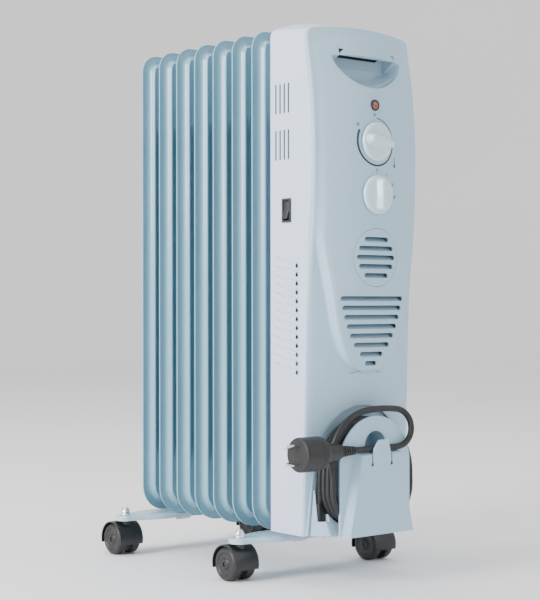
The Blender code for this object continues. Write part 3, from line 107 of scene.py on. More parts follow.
# ---- Cord: the turns' path and the free stretch's route, the same points as the part's ---------
CORD_DIAMETER = 0.0072
COIL_HALF = 0.0620
COIL_CENTRE_Z = 0.1244
COIL_BASE = 0.0700
COIL_CORNER = 0.0400
COIL_TURNS = 3
GLAND_X, GLAND_Y, GLAND_BASE, GLAND_TIP = -0.0620, -0.1078, 0.0745, 0.1170
PLUG_END, PLUG_Y, LEAD_Z = -0.0388, -0.1408, 0.1550
LEAD_ROUTE = [(-0.0620, -0.1297, 0.1180), (-0.0620, -0.1297, 0.1225), (-0.0628, -0.1293, 0.1330),
              (-0.0632, -0.1287, 0.1460), (-0.0605, -0.1286, 0.1600), (-0.0530, -0.1292, 0.1745),
              (-0.0410, -0.1302, 0.1868), (-0.0260, -0.1310, 0.1948), (-0.0090, -0.1320, 0.1985),
              (0.0100, -0.1334, 0.1995), (0.0290, -0.1350, 0.1985), (0.0385, -0.1360, 0.1965),
              (0.0457, -0.1370, 0.1918), (0.0505, -0.1380, 0.1848), (0.0521, -0.1388, 0.1768),
              (0.0505, -0.1394, 0.1688), (0.0457, -0.1396, 0.1618), (0.0385, -0.1392, 0.1569),
              (0.0290, -0.1386, 0.1550), (0.0120, -0.1380, 0.1548), (-0.0050, -0.1381, 0.1549),
              (-0.0200, -0.1395, 0.1550), (-0.0330, PLUG_Y, LEAD_Z), (PLUG_END + GAP, PLUG_Y, LEAD_Z)]


# ---- Settings ---------------------------------------------------------------------------------
class HeaterSizes(bpy.types.PropertyGroup):
    """Sizes of the visible surfaces that can be changed by themselves"""
    fin_count: bpy.props.IntProperty(name="Fins", description="Number of oil fins", default=7, min=2)
    seam_width: bpy.props.FloatProperty(name="Seam width", description="Flat welded border of a fin",
                                        default=0.0100, unit="LENGTH")
    bead_run: bpy.props.FloatProperty(name="Bead run", default=0.0032, unit="LENGTH",
                                      description="Slope from the border to the oil channel")
    channel_half: bpy.props.FloatProperty(name="Channel half", default=0.0092, unit="LENGTH",
                                          description="Half the oil channel's thickness")
    slot_height: bpy.props.FloatProperty(name="Slot height", description="Height of the front air slots",
                                         default=0.0055, unit="LENGTH")
    side_louvres: bpy.props.IntProperty(name="Side louvres", default=13, min=1,
                                        description="Slanted louvres in each side wall")
    knob_radius: bpy.props.FloatProperty(name="Knob radius", description="Radius of both knobs",
                                         default=0.0225, unit="LENGTH")
    wheel_steps: bpy.props.IntProperty(name="Wheel steps", description="Facets round a caster wheel",
                                       default=48, min=16)


def colour_setting(name, description, default):
    """A colour property with the words and value that it shows."""
    return bpy.props.FloatVectorProperty(name=name, description=description, default=default, size=3,
                                         min=0.0, max=1.0, subtype="COLOR")


class HeaterFinishes(bpy.types.PropertyGroup):
    """Colours of the heater's paints and plastics"""
    fin_paint: colour_setting("Fin enamel", "Enamel of the oil fins", (0.22, 0.42, 0.52))
    shell_paint: colour_setting("Shell paint", "Powder coat of the side shell", (0.58, 0.65, 0.80))
    cover_plastic: colour_setting("Cover plastic", "Moulded front cover", (0.39, 0.57, 0.69))
    foot_paint: colour_setting("Foot enamel", "Enamel of the foot brackets", (0.42, 0.58, 0.67))
    knob_plastic: colour_setting("Knob plastic", "Glossy knobs", (0.60, 0.76, 0.84))
    lamp_red: colour_setting("Lamp red", "Pilot lamp lens", (0.26, 0.045, 0.03))
    black: colour_setting("Black", "Casters, switch and cord", (0.012, 0.012, 0.012))
    ink: colour_setting("Ink", "Printed dial marks", (0.02, 0.035, 0.045))


# ---- Curves and outlines ----------------------------------------------------------------------
def eased(line, z):
    """Value of a (height, value) line at z on a smooth curve that doesn't overshoot its points."""
    heights, values = (np.array(part, float) for part in zip(*line))
    z = np.clip(np.asarray(z, float), heights[0], heights[-1])
    step = np.diff(heights)
    slope = np.diff(values) / step
    tangent = np.zeros(len(values))
    for index in range(1, len(values) - 1):
        if slope[index - 1] * slope[index] > 0:
            tangent[index] = 2 * slope[index - 1] * slope[index] / (slope[index - 1] + slope[index])
    tangent[0], tangent[-1] = slope[0], slope[-1]
    index = np.clip(np.searchsorted(heights, z, side="right") - 1, 0, len(step) - 1)
    t = (z - heights[index]) / step[index]
    rise = step[index]
    return ((2 * t ** 3 - 3 * t ** 2 + 1) * values[index]
            + (t ** 3 - 2 * t ** 2 + t) * rise * tangent[index]
            + (3 * t ** 2 - 2 * t ** 3) * values[index + 1]
            + (t ** 3 - t ** 2) * rise * tangent[index + 1])


def smoothstep(t):
    """0 to 1 with level ends."""
    t = np.clip(t, 0.0, 1.0)
    return t * t * (3 - 2 * t)


def arc(centre, radius, start, end, steps):
    """Points on an arc, angles in degrees."""
    angles = [math.radians(start + (end - start) * step / steps) for step in range(steps + 1)]
    return [(centre[0] + radius * math.cos(angle), centre[1] + radius * math.sin(angle))
            for angle in angles]


def circle(centre, radius, sides):
    return arc(centre, radius, 0, 360 - 360 / sides, sides - 1)


def stadium(centre, length, width, steps=6):
    """Outline of a slot with round ends, along the first axis."""
    reach = (length - width) / 2
    return (arc((centre[0] + reach, centre[1]), width / 2, -90, 90, steps)
            + arc((centre[0] - reach, centre[1]), width / 2, 90, 270, steps))


def doorway(half, top, base, steps=16, foot=0.0):
    """Sides under a half circle, wider by foot at the base."""
    return ([(-half - foot, base)] + list(reversed(arc((0, top - half), half, 0, 180, 2 * steps)))
            + [(half + foot, base)])


def on_plane(outline, axis, level):
    """Outline points in space. Axis X takes (y, z), axis Y takes (x, z), axis Z takes (x, y)."""
    if axis == "X":
        return [Vector((level, a, b)) for a, b in outline]
    if axis == "Y":
        return [Vector((a, level, b)) for a, b in outline]
    return [Vector((a, b, level)) for a, b in outline]


def route_curve(points, per_span=8):
    """Closely spaced points on one smooth curve through the given points."""
    points = [Vector(point) for point in points]
    fine = []
    for index in range(len(points) - 1):
        before, start = points[max(index - 1, 0)], points[index]
        end, after = points[index + 1], points[min(index + 2, len(points) - 1)]
        for step in range(per_span):
            t = step / per_span
            fine.append(0.5 * (2 * start + (end - before) * t
                               + (2 * before - 5 * start + 4 * end - after) * t ** 2
                               + (3 * start - before - 3 * end + after) * t ** 3))
    return fine + [points[-1]]


# ---- Meshes -----------------------------------------------------------------------------------
def link(name, mesh):
    """A new object in the scene."""
    made = bpy.data.objects.new(name, mesh)
    bpy.context.scene.collection.objects.link(made)
    return made


def from_bmesh(bm, name):
    """A linked object with its faces pointing outwards."""
    bmesh.ops.recalc_face_normals(bm, faces=bm.faces)
    mesh = bpy.data.meshes.new(name)
    bm.to_mesh(mesh)
    bm.free()
    return link(name, mesh)


def skin(bm, loops, closed=False):
    """Skin a row of loops; cap both ends, or join the last loop to the first."""
    rows = [[bm.verts.new(point) for point in loop] for loop in loops]
    count = len(rows[0])
    pairs = list(zip(rows, rows[1:] + rows[:1])) if closed else list(zip(rows, rows[1:]))
    for near, far in pairs:
        for index in range(count):
            other = (index + 1) % count
            bm.faces.new((near[index], near[other], far[other], far[index]))
    if not closed:
        for end in (rows[0], rows[-1]):
            face = bm.faces.new(end)
            bmesh.ops.triangulate(bm, faces=[face])


def loft(name, loops, closed=False):
    bm = bmesh.new()
    skin(bm, loops, closed)
    return from_bmesh(bm, name)


def prism(name, outline, axis, low, high):
    return loft(name, [on_plane(outline, axis, low), on_plane(outline, axis, high)])


def prisms(name, outlines, axis, low, high):
    """Several separate prisms in one object."""
    bm = bmesh.new()
    for outline in outlines:
        skin(bm, [on_plane(outline, axis, low), on_plane(outline, axis, high)])
    return from_bmesh(bm, name)


def box(name, low, high):
    outline = [(low[0], low[1]), (high[0], low[1]), (high[0], high[1]), (low[0], high[1])]
    return prism(name, outline, "Z", low[2], high[2])


def turned(name, centre, axis, profile, sides=48, ring=False):
    """A turned solid; the profile is (distance along the axis, radius), a closed one for a ring."""
    flat = {"X": (centre[1], centre[2]), "Y": (centre[0], centre[2]), "Z": (centre[0], centre[1])}[axis]
    base = centre["XYZ".index(axis)]
    loops = [on_plane(circle(flat, radius, sides), axis, base + along) for along, radius in profile]
    return loft(name, loops, ring)


def rounded_profile(points, radius, steps=4):
    """A profile with each inner corner rounded off."""
    rounded = [points[0]]
    for before, corner, after in zip(points, points[1:], points[2:]):
        corner = Vector(corner)
        back, ahead = Vector(before) - corner, Vector(after) - corner
        reach = min(radius, back.length * 0.45, ahead.length * 0.45)
        start, end = corner + back.normalized() * reach, corner + ahead.normalized() * reach
        for step in range(steps + 1):
            t = step / steps
            rounded.append(tuple(start * (1 - t) ** 2 + corner * 2 * t * (1 - t) + end * t ** 2))
    return rounded + [points[-1]]


def bar(name, points, radii, sides=16):
    """A round bar along a path; radii is one radius or one for each point."""
    points = [Vector(point) for point in points]
    if not hasattr(radii, "__len__"):
        radii = [radii] * len(points)
    loops, side = [], None
    for index, point in enumerate(points):
        heading = (points[min(index + 1, len(points) - 1)] - points[max(index - 1, 0)]).normalized()
        side = heading.orthogonal() if side is None else side - heading * side.dot(heading)
        side.normalize()
        other = heading.cross(side)
        loop = []
        for step in range(sides):
            angle = 2 * math.pi * step / sides
            loop.append(point + radii[index] * (side * math.cos(angle) + other * math.sin(angle)))
        loops.append(loop)
    return loft(name, loops)


def applied(body):
    """Replace the mesh by what the modifiers make of it."""
    graph = bpy.context.evaluated_depsgraph_get()
    mesh = bpy.data.meshes.new_from_object(body.evaluated_get(graph))
    body.modifiers.clear()
    body.data = mesh
    return body


def combine(body, tool, operation):
    """Apply one Boolean and drop the tool."""
    change = body.modifiers.new(operation.title(), "BOOLEAN")
    change.operation = operation
    change.solver = "MANIFOLD"
    change.object = tool
    applied(body)
    bpy.data.objects.remove(tool)
    if not body.data.vertices:
        raise RuntimeError(f"{body.name}: nothing is left after a {operation}")
    return body


def cut(body, tool):
    return combine(body, tool, "DIFFERENCE")


def join(body, tool):
    return combine(body, tool, "UNION")


def keep(body, tool):
    return combine(body, tool, "INTERSECT")


def bevelled(body, width, segments=2, angle=40):
    """Round off the edges that bend more than the angle."""
    bevel = body.modifiers.new("Bevel", "BEVEL")
    bevel.width = width
    bevel.segments = segments
    bevel.limit_method = "ANGLE"
    bevel.angle_limit = math.radians(angle)
    return applied(body)


def merged(name, objects):
    """One object from several that don't touch."""
    bm = bmesh.new()
    for part in objects:
        bm.from_mesh(part.data)
        bpy.data.objects.remove(part)
    mesh = bpy.data.meshes.new(name)
    bm.to_mesh(mesh)
    bm.free()
    return link(name, mesh)


def copied(source, name):
    """The same object once more, with its own mesh."""
    return link(name, source.data.copy())


def mirrored(source, name):
    """The same shape on the other side of the middle plane."""
    bm = bmesh.new()
    bm.from_mesh(source.data)
    bmesh.ops.scale(bm, vec=(-1, 1, 1), verts=bm.verts)
    return from_bmesh(bm, name)


def finish(body, rides_on, slot, replaces=(), sharp=35, paint=None):
    """Move a piece into the frame, shade it, paint it, hang it on its body's empty and hide the frame
    parts it replaces.

    paint names the finish where it isn't the slot's own.
    """
    body.data.transform(Matrix.Translation((0, FRONT_FIN_Y, 0)))
    body.data.materials.clear()
    body.data.materials.append(LOOKS[paint or slot])
    body.data.polygons.foreach_set("material_index", [0] * len(body.data.polygons))
    body.data.shade_smooth()
    body.data.set_sharp_from_angle(angle=math.radians(sharp))
    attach(body, rides_on)
    if replaces:
        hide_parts(*replaces)
    return body


def repaint(names, paint):
    """Give the frame's own nodes their finish."""
    for name in names:
        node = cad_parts[name]
        node.data.materials.clear()
        node.data.materials.append(LOOKS[paint])


# ---- Materials --------------------------------------------------------------------------------
def look(name, colour, roughness, metallic=0.0, mottle=0.04, mottle_scale=18.0, grain_scale=900.0,
         grain_depth=0.00004, spread=0.06, coat=0.0):
    """A finish with slow colour variation, uneven gloss and a fine surface grain."""
    made = bpy.data.materials.new(name)
    made.use_nodes = True
    nodes, links = made.node_tree.nodes, made.node_tree.links
    shader = nodes["Principled BSDF"]
    shader.inputs["Metallic"].default_value = metallic
    shader.inputs["Coat Weight"].default_value = coat
    shader.inputs["Coat Roughness"].default_value = 0.12
    place = nodes.new("ShaderNodeTexCoord")

    def noise(scale, detail):
        made_noise = nodes.new("ShaderNodeTexNoise")
        made_noise.inputs["Scale"].default_value = scale
        made_noise.inputs["Detail"].default_value = detail
        links.new(place.outputs["Object"], made_noise.inputs["Vector"])
        return made_noise

    tone = nodes.new("ShaderNodeValToRGB")
    tone.color_ramp.elements[0].position, tone.color_ramp.elements[1].position = 0.3, 0.7
    tone.color_ramp.elements[0].color = (*[c * (1 - mottle) for c in colour], 1)
    tone.color_ramp.elements[1].color = (*[min(c * (1 + mottle), 1) for c in colour], 1)
    links.new(noise(mottle_scale, 3.0).outputs["Fac"], tone.inputs["Fac"])
    links.new(tone.outputs["Color"], shader.inputs["Base Color"])

    gloss = nodes.new("ShaderNodeMapRange")
    gloss.inputs["To Min"].default_value = max(roughness - spread, 0.02)
    gloss.inputs["To Max"].default_value = min(roughness + spread, 1.0)
    links.new(noise(mottle_scale * 3.7, 4.0).outputs["Fac"], gloss.inputs["Value"])
    links.new(gloss.outputs["Result"], shader.inputs["Roughness"])

    bump = nodes.new("ShaderNodeBump")
    bump.inputs["Strength"].default_value = 0.5
    bump.inputs["Distance"].default_value = grain_depth
    links.new(noise(grain_scale, 2.0).outputs["Fac"], bump.inputs["Height"])
    links.new(bump.outputs["Normal"], shader.inputs["Normal"])
    return made


LOOKS = {}


def mix_looks(finishes):
    """Every finish of the heater, by name."""
    black = tuple(finishes.black)
    LOOKS.update({
        "fin_paint": look("fin_enamel", tuple(finishes.fin_paint), 0.30, mottle=0.03, grain_scale=420.0,
                          grain_depth=0.00006, coat=0.35),
        "shell_paint": look("shell_powder_coat", tuple(finishes.shell_paint), 0.42, mottle=0.015,
                            grain_scale=1300.0, grain_depth=0.00005),
        "cover_plastic": look("cover_moulded_plastic", tuple(finishes.cover_plastic), 0.40, mottle=0.02,
                              grain_scale=2200.0, grain_depth=0.00004),
        "foot_paint": look("foot_enamel", tuple(finishes.foot_paint), 0.28, mottle=0.03, grain_scale=420.0,
                           grain_depth=0.00006, coat=0.35),
        "knob_plastic": look("knob_gloss_plastic", tuple(finishes.knob_plastic), 0.16, mottle=0.01,
                             grain_scale=300.0, grain_depth=0.00001, coat=0.5, spread=0.03),
        "caster_plastic": look("caster_nylon", black, 0.36, mottle=0.15, grain_scale=1600.0,
                               grain_depth=0.00005),
        "tyre": look("caster_tread", tuple(c * 1.2 for c in black), 0.46, mottle=0.25, mottle_scale=60.0,
                     grain_scale=1100.0, grain_depth=0.00009, spread=0.10),
        "chrome": look("bright_chrome", (0.80, 0.82, 0.84), 0.09, 1.0, mottle=0.02, grain_scale=500.0,
                       grain_depth=0.00001, spread=0.03),
        "zinc_steel": look("zinc_plate", (0.56, 0.57, 0.58), 0.34, 1.0, mottle=0.10, mottle_scale=90.0,
                           grain_scale=1500.0, grain_depth=0.00003, spread=0.12),
        "dark_plastic": look("dark_moulded_plastic", (0.016, 0.018, 0.020), 0.42, mottle=0.15,
                             grain_scale=2400.0, grain_depth=0.00004),
        "lamp_lens": look("lamp_red_lens", tuple(finishes.lamp_red), 0.10, mottle=0.30, mottle_scale=420.0,
                          grain_scale=300.0, grain_depth=0.00001, coat=0.8, spread=0.03),
        "white_plastic": look("white_moulded_plastic", (0.70, 0.70, 0.67), 0.45, mottle=0.03,
                              grain_scale=2000.0, grain_depth=0.00003),
        "ceramic": look("fired_ceramic", (0.62, 0.60, 0.54), 0.62, mottle=0.08, mottle_scale=120.0,
                        grain_scale=1400.0, grain_depth=0.00009),
        "cord_rubber": look("cord_rubber", tuple(c * 0.9 for c in black), 0.48, mottle=0.20,
                            mottle_scale=45.0, grain_scale=1800.0, grain_depth=0.00006, spread=0.10),
        "ink": look("dial_ink", tuple(finishes.ink), 0.50, mottle=0.10, mottle_scale=400.0,
                    grain_scale=2000.0, grain_depth=0.00001),
    })


# ---- Geometry Nodes ---------------------------------------------------------------------------
def pattern_tree():
    """Copies of the object in a row, each one moved and turned a step further."""
    tree = bpy.data.node_groups.new("Stepped Copies", "GeometryNodeTree")
    inputs = (("Piece", "NodeSocketGeometry"), ("Count", "NodeSocketInt"), ("Start", "NodeSocketVector"),
              ("Step", "NodeSocketVector"), ("Turn", "NodeSocketVector"), ("Finish", "NodeSocketMaterial"))
    for name, kind in inputs:
        tree.interface.new_socket(name, in_out="INPUT", socket_type=kind)
    tree.interface.new_socket("Geometry", in_out="OUTPUT", socket_type="NodeSocketGeometry")
    nodes, links = tree.nodes, tree.links
    given, made = nodes.new("NodeGroupInput"), nodes.new("NodeGroupOutput")
    line = nodes.new("GeometryNodeMeshLine")
    line.mode, line.count_mode = "OFFSET", "TOTAL"
    links.new(given.outputs["Count"], line.inputs["Count"])
    links.new(given.outputs["Start"], line.inputs["Start Location"])
    links.new(given.outputs["Step"], line.inputs["Offset"])
    number = nodes.new("GeometryNodeInputIndex")
    turn = nodes.new("ShaderNodeVectorMath")
    turn.operation = "SCALE"
    links.new(given.outputs["Turn"], turn.inputs[0])
    links.new(number.outputs["Index"], turn.inputs["Scale"])
    angle = nodes.new("FunctionNodeEulerToRotation")
    links.new(turn.outputs["Vector"], angle.inputs["Euler"])
    place = nodes.new("GeometryNodeInstanceOnPoints")
    links.new(line.outputs["Mesh"], place.inputs["Points"])
    links.new(given.outputs["Piece"], place.inputs["Instance"])
    links.new(angle.outputs["Rotation"], place.inputs["Rotation"])
    real = nodes.new("GeometryNodeRealizeInstances")
    links.new(place.outputs["Instances"], real.inputs["Geometry"])
    paint = nodes.new("GeometryNodeSetMaterial")
    links.new(real.outputs["Geometry"], paint.inputs["Geometry"])
    links.new(given.outputs["Finish"], paint.inputs["Material"])
    links.new(paint.outputs["Geometry"], made.inputs["Geometry"])
    return tree


def stepped(body, count, finish_name, start=(0, 0, 0), step=(0, 0, 0), turn=(0, 0, 0)):
    """Repeat a piece with the stepped copies tree and make the result a plain mesh."""
    tree = bpy.data.node_groups.get("Stepped Copies") or pattern_tree()
    change = body.modifiers.new("Stepped Copies", "NODES")
    change.node_group = tree
    values = {"Count": count, "Start": start, "Step": step, "Turn": turn, "Finish": LOOKS[finish_name]}
    for item in tree.interface.items_tree:
        if item.in_out == "INPUT" and item.name in values:
            change[item.identifier] = values[item.name]
    return applied(body)


# ---- Oil fins ---------------------------------------------------------------------------------
FIN_CORNER_TOP, FIN_CORNER_LOW = 0.022, 0.034
SEAM_HALF = 0.0010        # half the flat border's thickness
LIP_RISE = 0.0006         # rolled edge beyond the border
LIP_WIDTH = 0.0016
CREST_RISE = 0.0006       # bead along the channel's shoulder
CREST_WIDTH = 0.0022
WEB_OUTER, WEB_INNER = HALF_FIN - 0.0157, HALF_FIN - 0.0387
WEB_LOW, WEB_HIGH = FIN_BASE + 0.082, FIN_TOP - 0.098
WEB_CORNER = 0.0109
WEB_SLOPE = 0.0018
NECK_HEIGHTS = (FIN_BASE + 0.045, FIN_TOP - 0.049)
NECK_RADIUS = 0.0200


def inside_distance(x, z, low, high, half, radius):
    """Distance inwards from a rounded rectangle's edge."""
    qx = np.abs(x) - (half - radius)
    qz = np.abs(z - (low + high) / 2) - ((high - low) / 2 - radius)
    outside = np.hypot(np.maximum(qx, 0), np.maximum(qz, 0))
    return radius - outside - np.minimum(np.maximum(qx, qz), 0)


def fin_half_thickness(x, z, sizes):
    """Half the fin's thickness at a point of its face."""
    middle = (FIN_BASE + FIN_TOP) / 2
    radius = np.where(z > middle, FIN_CORNER_TOP, FIN_CORNER_LOW)
    inwards = inside_distance(x, z, FIN_BASE, FIN_TOP, HALF_FIN, radius)
    lip = SEAM_HALF + LIP_RISE * smoothstep(1 - inwards / LIP_WIDTH)
    rise = smoothstep((inwards - sizes.seam_width) / sizes.bead_run)
    crest = CREST_RISE * np.exp(-((inwards - sizes.seam_width - sizes.bead_run * 1.1) / CREST_WIDTH) ** 2)
    thickness = lip + (sizes.channel_half - SEAM_HALF) * rise + crest - CREST_RISE
    web = (WEB_OUTER + WEB_INNER) / 2
    web_half = (WEB_OUTER - WEB_INNER) / 2
    into_web = inside_distance(np.abs(x) - web, z, WEB_LOW, WEB_HIGH, web_half, WEB_CORNER)
    return thickness - (sizes.channel_half - 0.0018) * smoothstep(into_web / WEB_SLOPE)


def spread_marks(low, high, marks, fine, coarse):
    """Positions from low to high, fine within reach of the marks and coarse elsewhere."""
    found, at = [low], low
    while at < high - 1e-9:
        near = any(mark - reach <= at < mark + reach for mark, reach in marks)
        at += fine if near else coarse
        found.append(min(at, high))
    return found


def rim(grid):
    """The border of a grid of points, once round."""
    return (grid[0] + [row[-1] for row in grid[1:]] + grid[-1][-2::-1]
            + [row[0] for row in grid[-2:0:-1]])


def fin_mesh(sizes):
    """One pressed fin: two faces that meet in the rolled edge."""
    edge = spread_marks(0.0, HALF_FIN - 0.0325, [(0.0, 0.0016), (0.0118, 0.0028), (0.0168, 0.0020),
                                                 (0.0378, 0.0020)], 0.0008, 0.0032)
    turns = [1 - math.cos(math.radians(angle)) for angle in range(0, 91, 9)]
    corner_top = [FIN_CORNER_TOP * turn for turn in turns]
    corner_low = [FIN_CORNER_LOW * turn for turn in turns]
    middle = spread_marks(FIN_BASE + FIN_CORNER_LOW, FIN_TOP - FIN_CORNER_TOP,
                          [(WEB_LOW + 0.005, 0.008), (WEB_HIGH - 0.005, 0.008)], 0.0013, 0.020)
    heights = ([FIN_BASE + drop for drop in corner_low[:-1]] + middle
               + [FIN_TOP - drop for drop in reversed(corner_top[:-1])])
    heights = np.array(heights)
    inner = [0.0090, 0.0180, 0.0260]
    rows = []
    for z in heights:
        to_end, radius = (FIN_TOP - z, FIN_CORNER_TOP) if z > 0.3 else (z - FIN_BASE, FIN_CORNER_LOW)
        sink = max(radius - to_end, 0.0)
        half = HALF_FIN - radius + math.sqrt(radius ** 2 - sink ** 2)
        shrink = (half - edge[-1]) / (HALF_FIN - edge[-1])
        right = sorted([x * shrink for x in inner] + [half - inwards for inwards in reversed(edge)])
        rows.append([-x for x in reversed(right)] + [0.0] + right)
    x = np.array(rows)
    z = np.repeat(heights[:, None], x.shape[1], axis=1)
    y = fin_half_thickness(x, z, sizes)
    bm = bmesh.new()
    sides = []
    for face in (-1, 1):
        sides.append([[bm.verts.new((x[i, j], face * y[i, j], z[i, j])) for j in range(x.shape[1])]
                      for i in range(x.shape[0])])
    for grid in sides:
        for near, far in zip(grid, grid[1:]):
            for j in range(len(near) - 1):
                bm.faces.new((near[j], near[j + 1], far[j + 1], far[j]))
    front, back = (rim(grid) for grid in sides)
    for index in range(len(front)):
        other = (index + 1) % len(front)
        bm.faces.new((front[index], front[other], back[other], back[index]))
    return from_bmesh(bm, "radiator_fins")


class HEATER_OT_fins(bpy.types.Operator):
    """Pressed oil fins and the welded necks between them"""
    bl_idname = "heater.fins"
    bl_label = "Oil Fins"

    def execute(self, context):
        sizes = context.scene.heater_sizes
        fins = stepped(fin_mesh(sizes), sizes.fin_count, "fin_paint", step=(0, FIN_PITCH, 0))
        finish(fins, "chassis", "fin_paint", FINS, sharp=50)
        reach = FIN_PITCH / 2
        profile = [(-reach, NECK_RADIUS - 0.001), (-reach, NECK_RADIUS), (-0.0125, NECK_RADIUS),
                   (-0.0095, NECK_RADIUS + 0.0035), (0.0095, NECK_RADIUS + 0.0035), (0.0125, NECK_RADIUS),
                   (reach - 0.0016, NECK_RADIUS), (reach - 0.0008, NECK_RADIUS + 0.0012),
                   (reach, NECK_RADIUS + 0.0012), (reach, NECK_RADIUS - 0.001)]
        front_end = [(-0.0465, NECK_RADIUS - 0.002), (-0.0465, NECK_RADIUS + 0.0004),
                     (-0.0440, NECK_RADIUS + 0.0004), (-0.0435, NECK_RADIUS),
                     (-reach - 0.0002, NECK_RADIUS), (-reach - 0.0002, NECK_RADIUS - 0.002)]
        for height, word in zip(NECK_HEIGHTS, ("lower", "upper")):
            neck = turned("neck", (0, 0, height), "Y", rounded_profile(profile, 0.0015), 40)
            necks = stepped(neck, sizes.fin_count - 1, "fin_paint", step=(0, FIN_PITCH, 0))
            stub = turned("stub", (0, 0, height), "Y", rounded_profile(front_end, 0.0008), 40)
            body = merged(f"header_{word}", [necks, stub])
            finish(body, "chassis", "fin_paint")
        return {"FINISHED"}


# ---- Housing ----------------------------------------------------------------------------------
def roof_points(edge, centre, inset=0.0, steps=8):
    """Roof line in (x, z) from left to right with its round corners."""
    half, radius = HALF_HOUSING - inset, ROOF_RADIUS - inset
    flat = HALF_HOUSING - ROOF_RADIUS
    edge, centre = edge - inset, centre - inset
    left = arc((-half + radius, edge - radius), radius, 180, 97, steps)
    crown = []
    for step in range(-7, 8):
        x = flat * step / 8
        crown.append((x, centre - (centre - edge) * (x / flat) ** 2))
    return left + crown + [(-x, z) for x, z in reversed(left)]


def wall_outline(edge, centre, inset=0.0):
    """Left wall, roof and right wall in (x, z)."""
    half = HALF_HOUSING - inset
    levels = [HOUSING_BASE + (0.615 - HOUSING_BASE) * step / 36 for step in range(37)]
    return ([(-half, z) for z in levels] + roof_points(edge, centre, inset)
            + [(half, z) for z in reversed(levels)])


SLOPE = math.radians(17.5)
LOUVRE_TOP = 0.3685
LOUVRE_PITCH = 0.0101
LOUVRE_MIDDLE = -0.070
VENT_ROWS = (0.5552, 0.5020)
VENT_REAR = -0.0522
VENT_PITCH = 0.0075
VENT_HALF_WIDTH, VENT_HALF_HEIGHT = 0.0013, 0.017
SWITCH_LOW, SWITCH_HIGH = (-0.0786, 0.4137), (-0.0654, 0.4393)     # opening in the left wall, (y, z)
SCREW_X, SCREW_BASE, SCREW_PITCH = 0.0690, 0.090, 0.130


def slanted_slot(y, z, length=0.040, rear=0.0007, front=0.0021):
    """Outline in (y, z) of one slanted opening, wider at the front; rear and front are half widths."""
    reach = length / 2
    dy, dz = -reach * math.cos(SLOPE), -reach * math.sin(SLOPE)
    nose = 180 + math.degrees(SLOPE)
    return (arc((y + dy, z + dz), front, nose - 90, nose + 90, 6)
            + arc((y - dy, z - dz), rear, nose + 90, nose + 270, 6))


def louvre_hood():
    """One pressed hood on the left wall: flush at the rear, open and standing out at the front."""
    wall = -HALF_HOUSING
    bm = bmesh.new()
    loops = []
    for step in range(13):
        t = step / 12
        y = -0.0500 - 0.0400 * t
        middle = 0.0009 + (y - LOUVRE_MIDDLE) * math.tan(SLOPE)
        out = 0.0005 + 0.0029 * smoothstep(t * 1.15)
        tall = 0.0012 + 0.0021 * t
        outer = [(out * math.sin(math.radians(angle)), tall * math.cos(math.radians(angle)))
                 for angle in range(0, 181, 20)]
        inner = [(max(out - 0.0006, 0.0001) * math.sin(math.radians(angle)),
                  (tall - 0.0006) * math.cos(math.radians(angle))) for angle in range(180, -1, -20)]
        loops.append([Vector((wall + 0.0003 - x, y, middle + z)) for x, z in outer + inner])
    skin(bm, loops)
    return from_bmesh(bm, "louvre_hood")


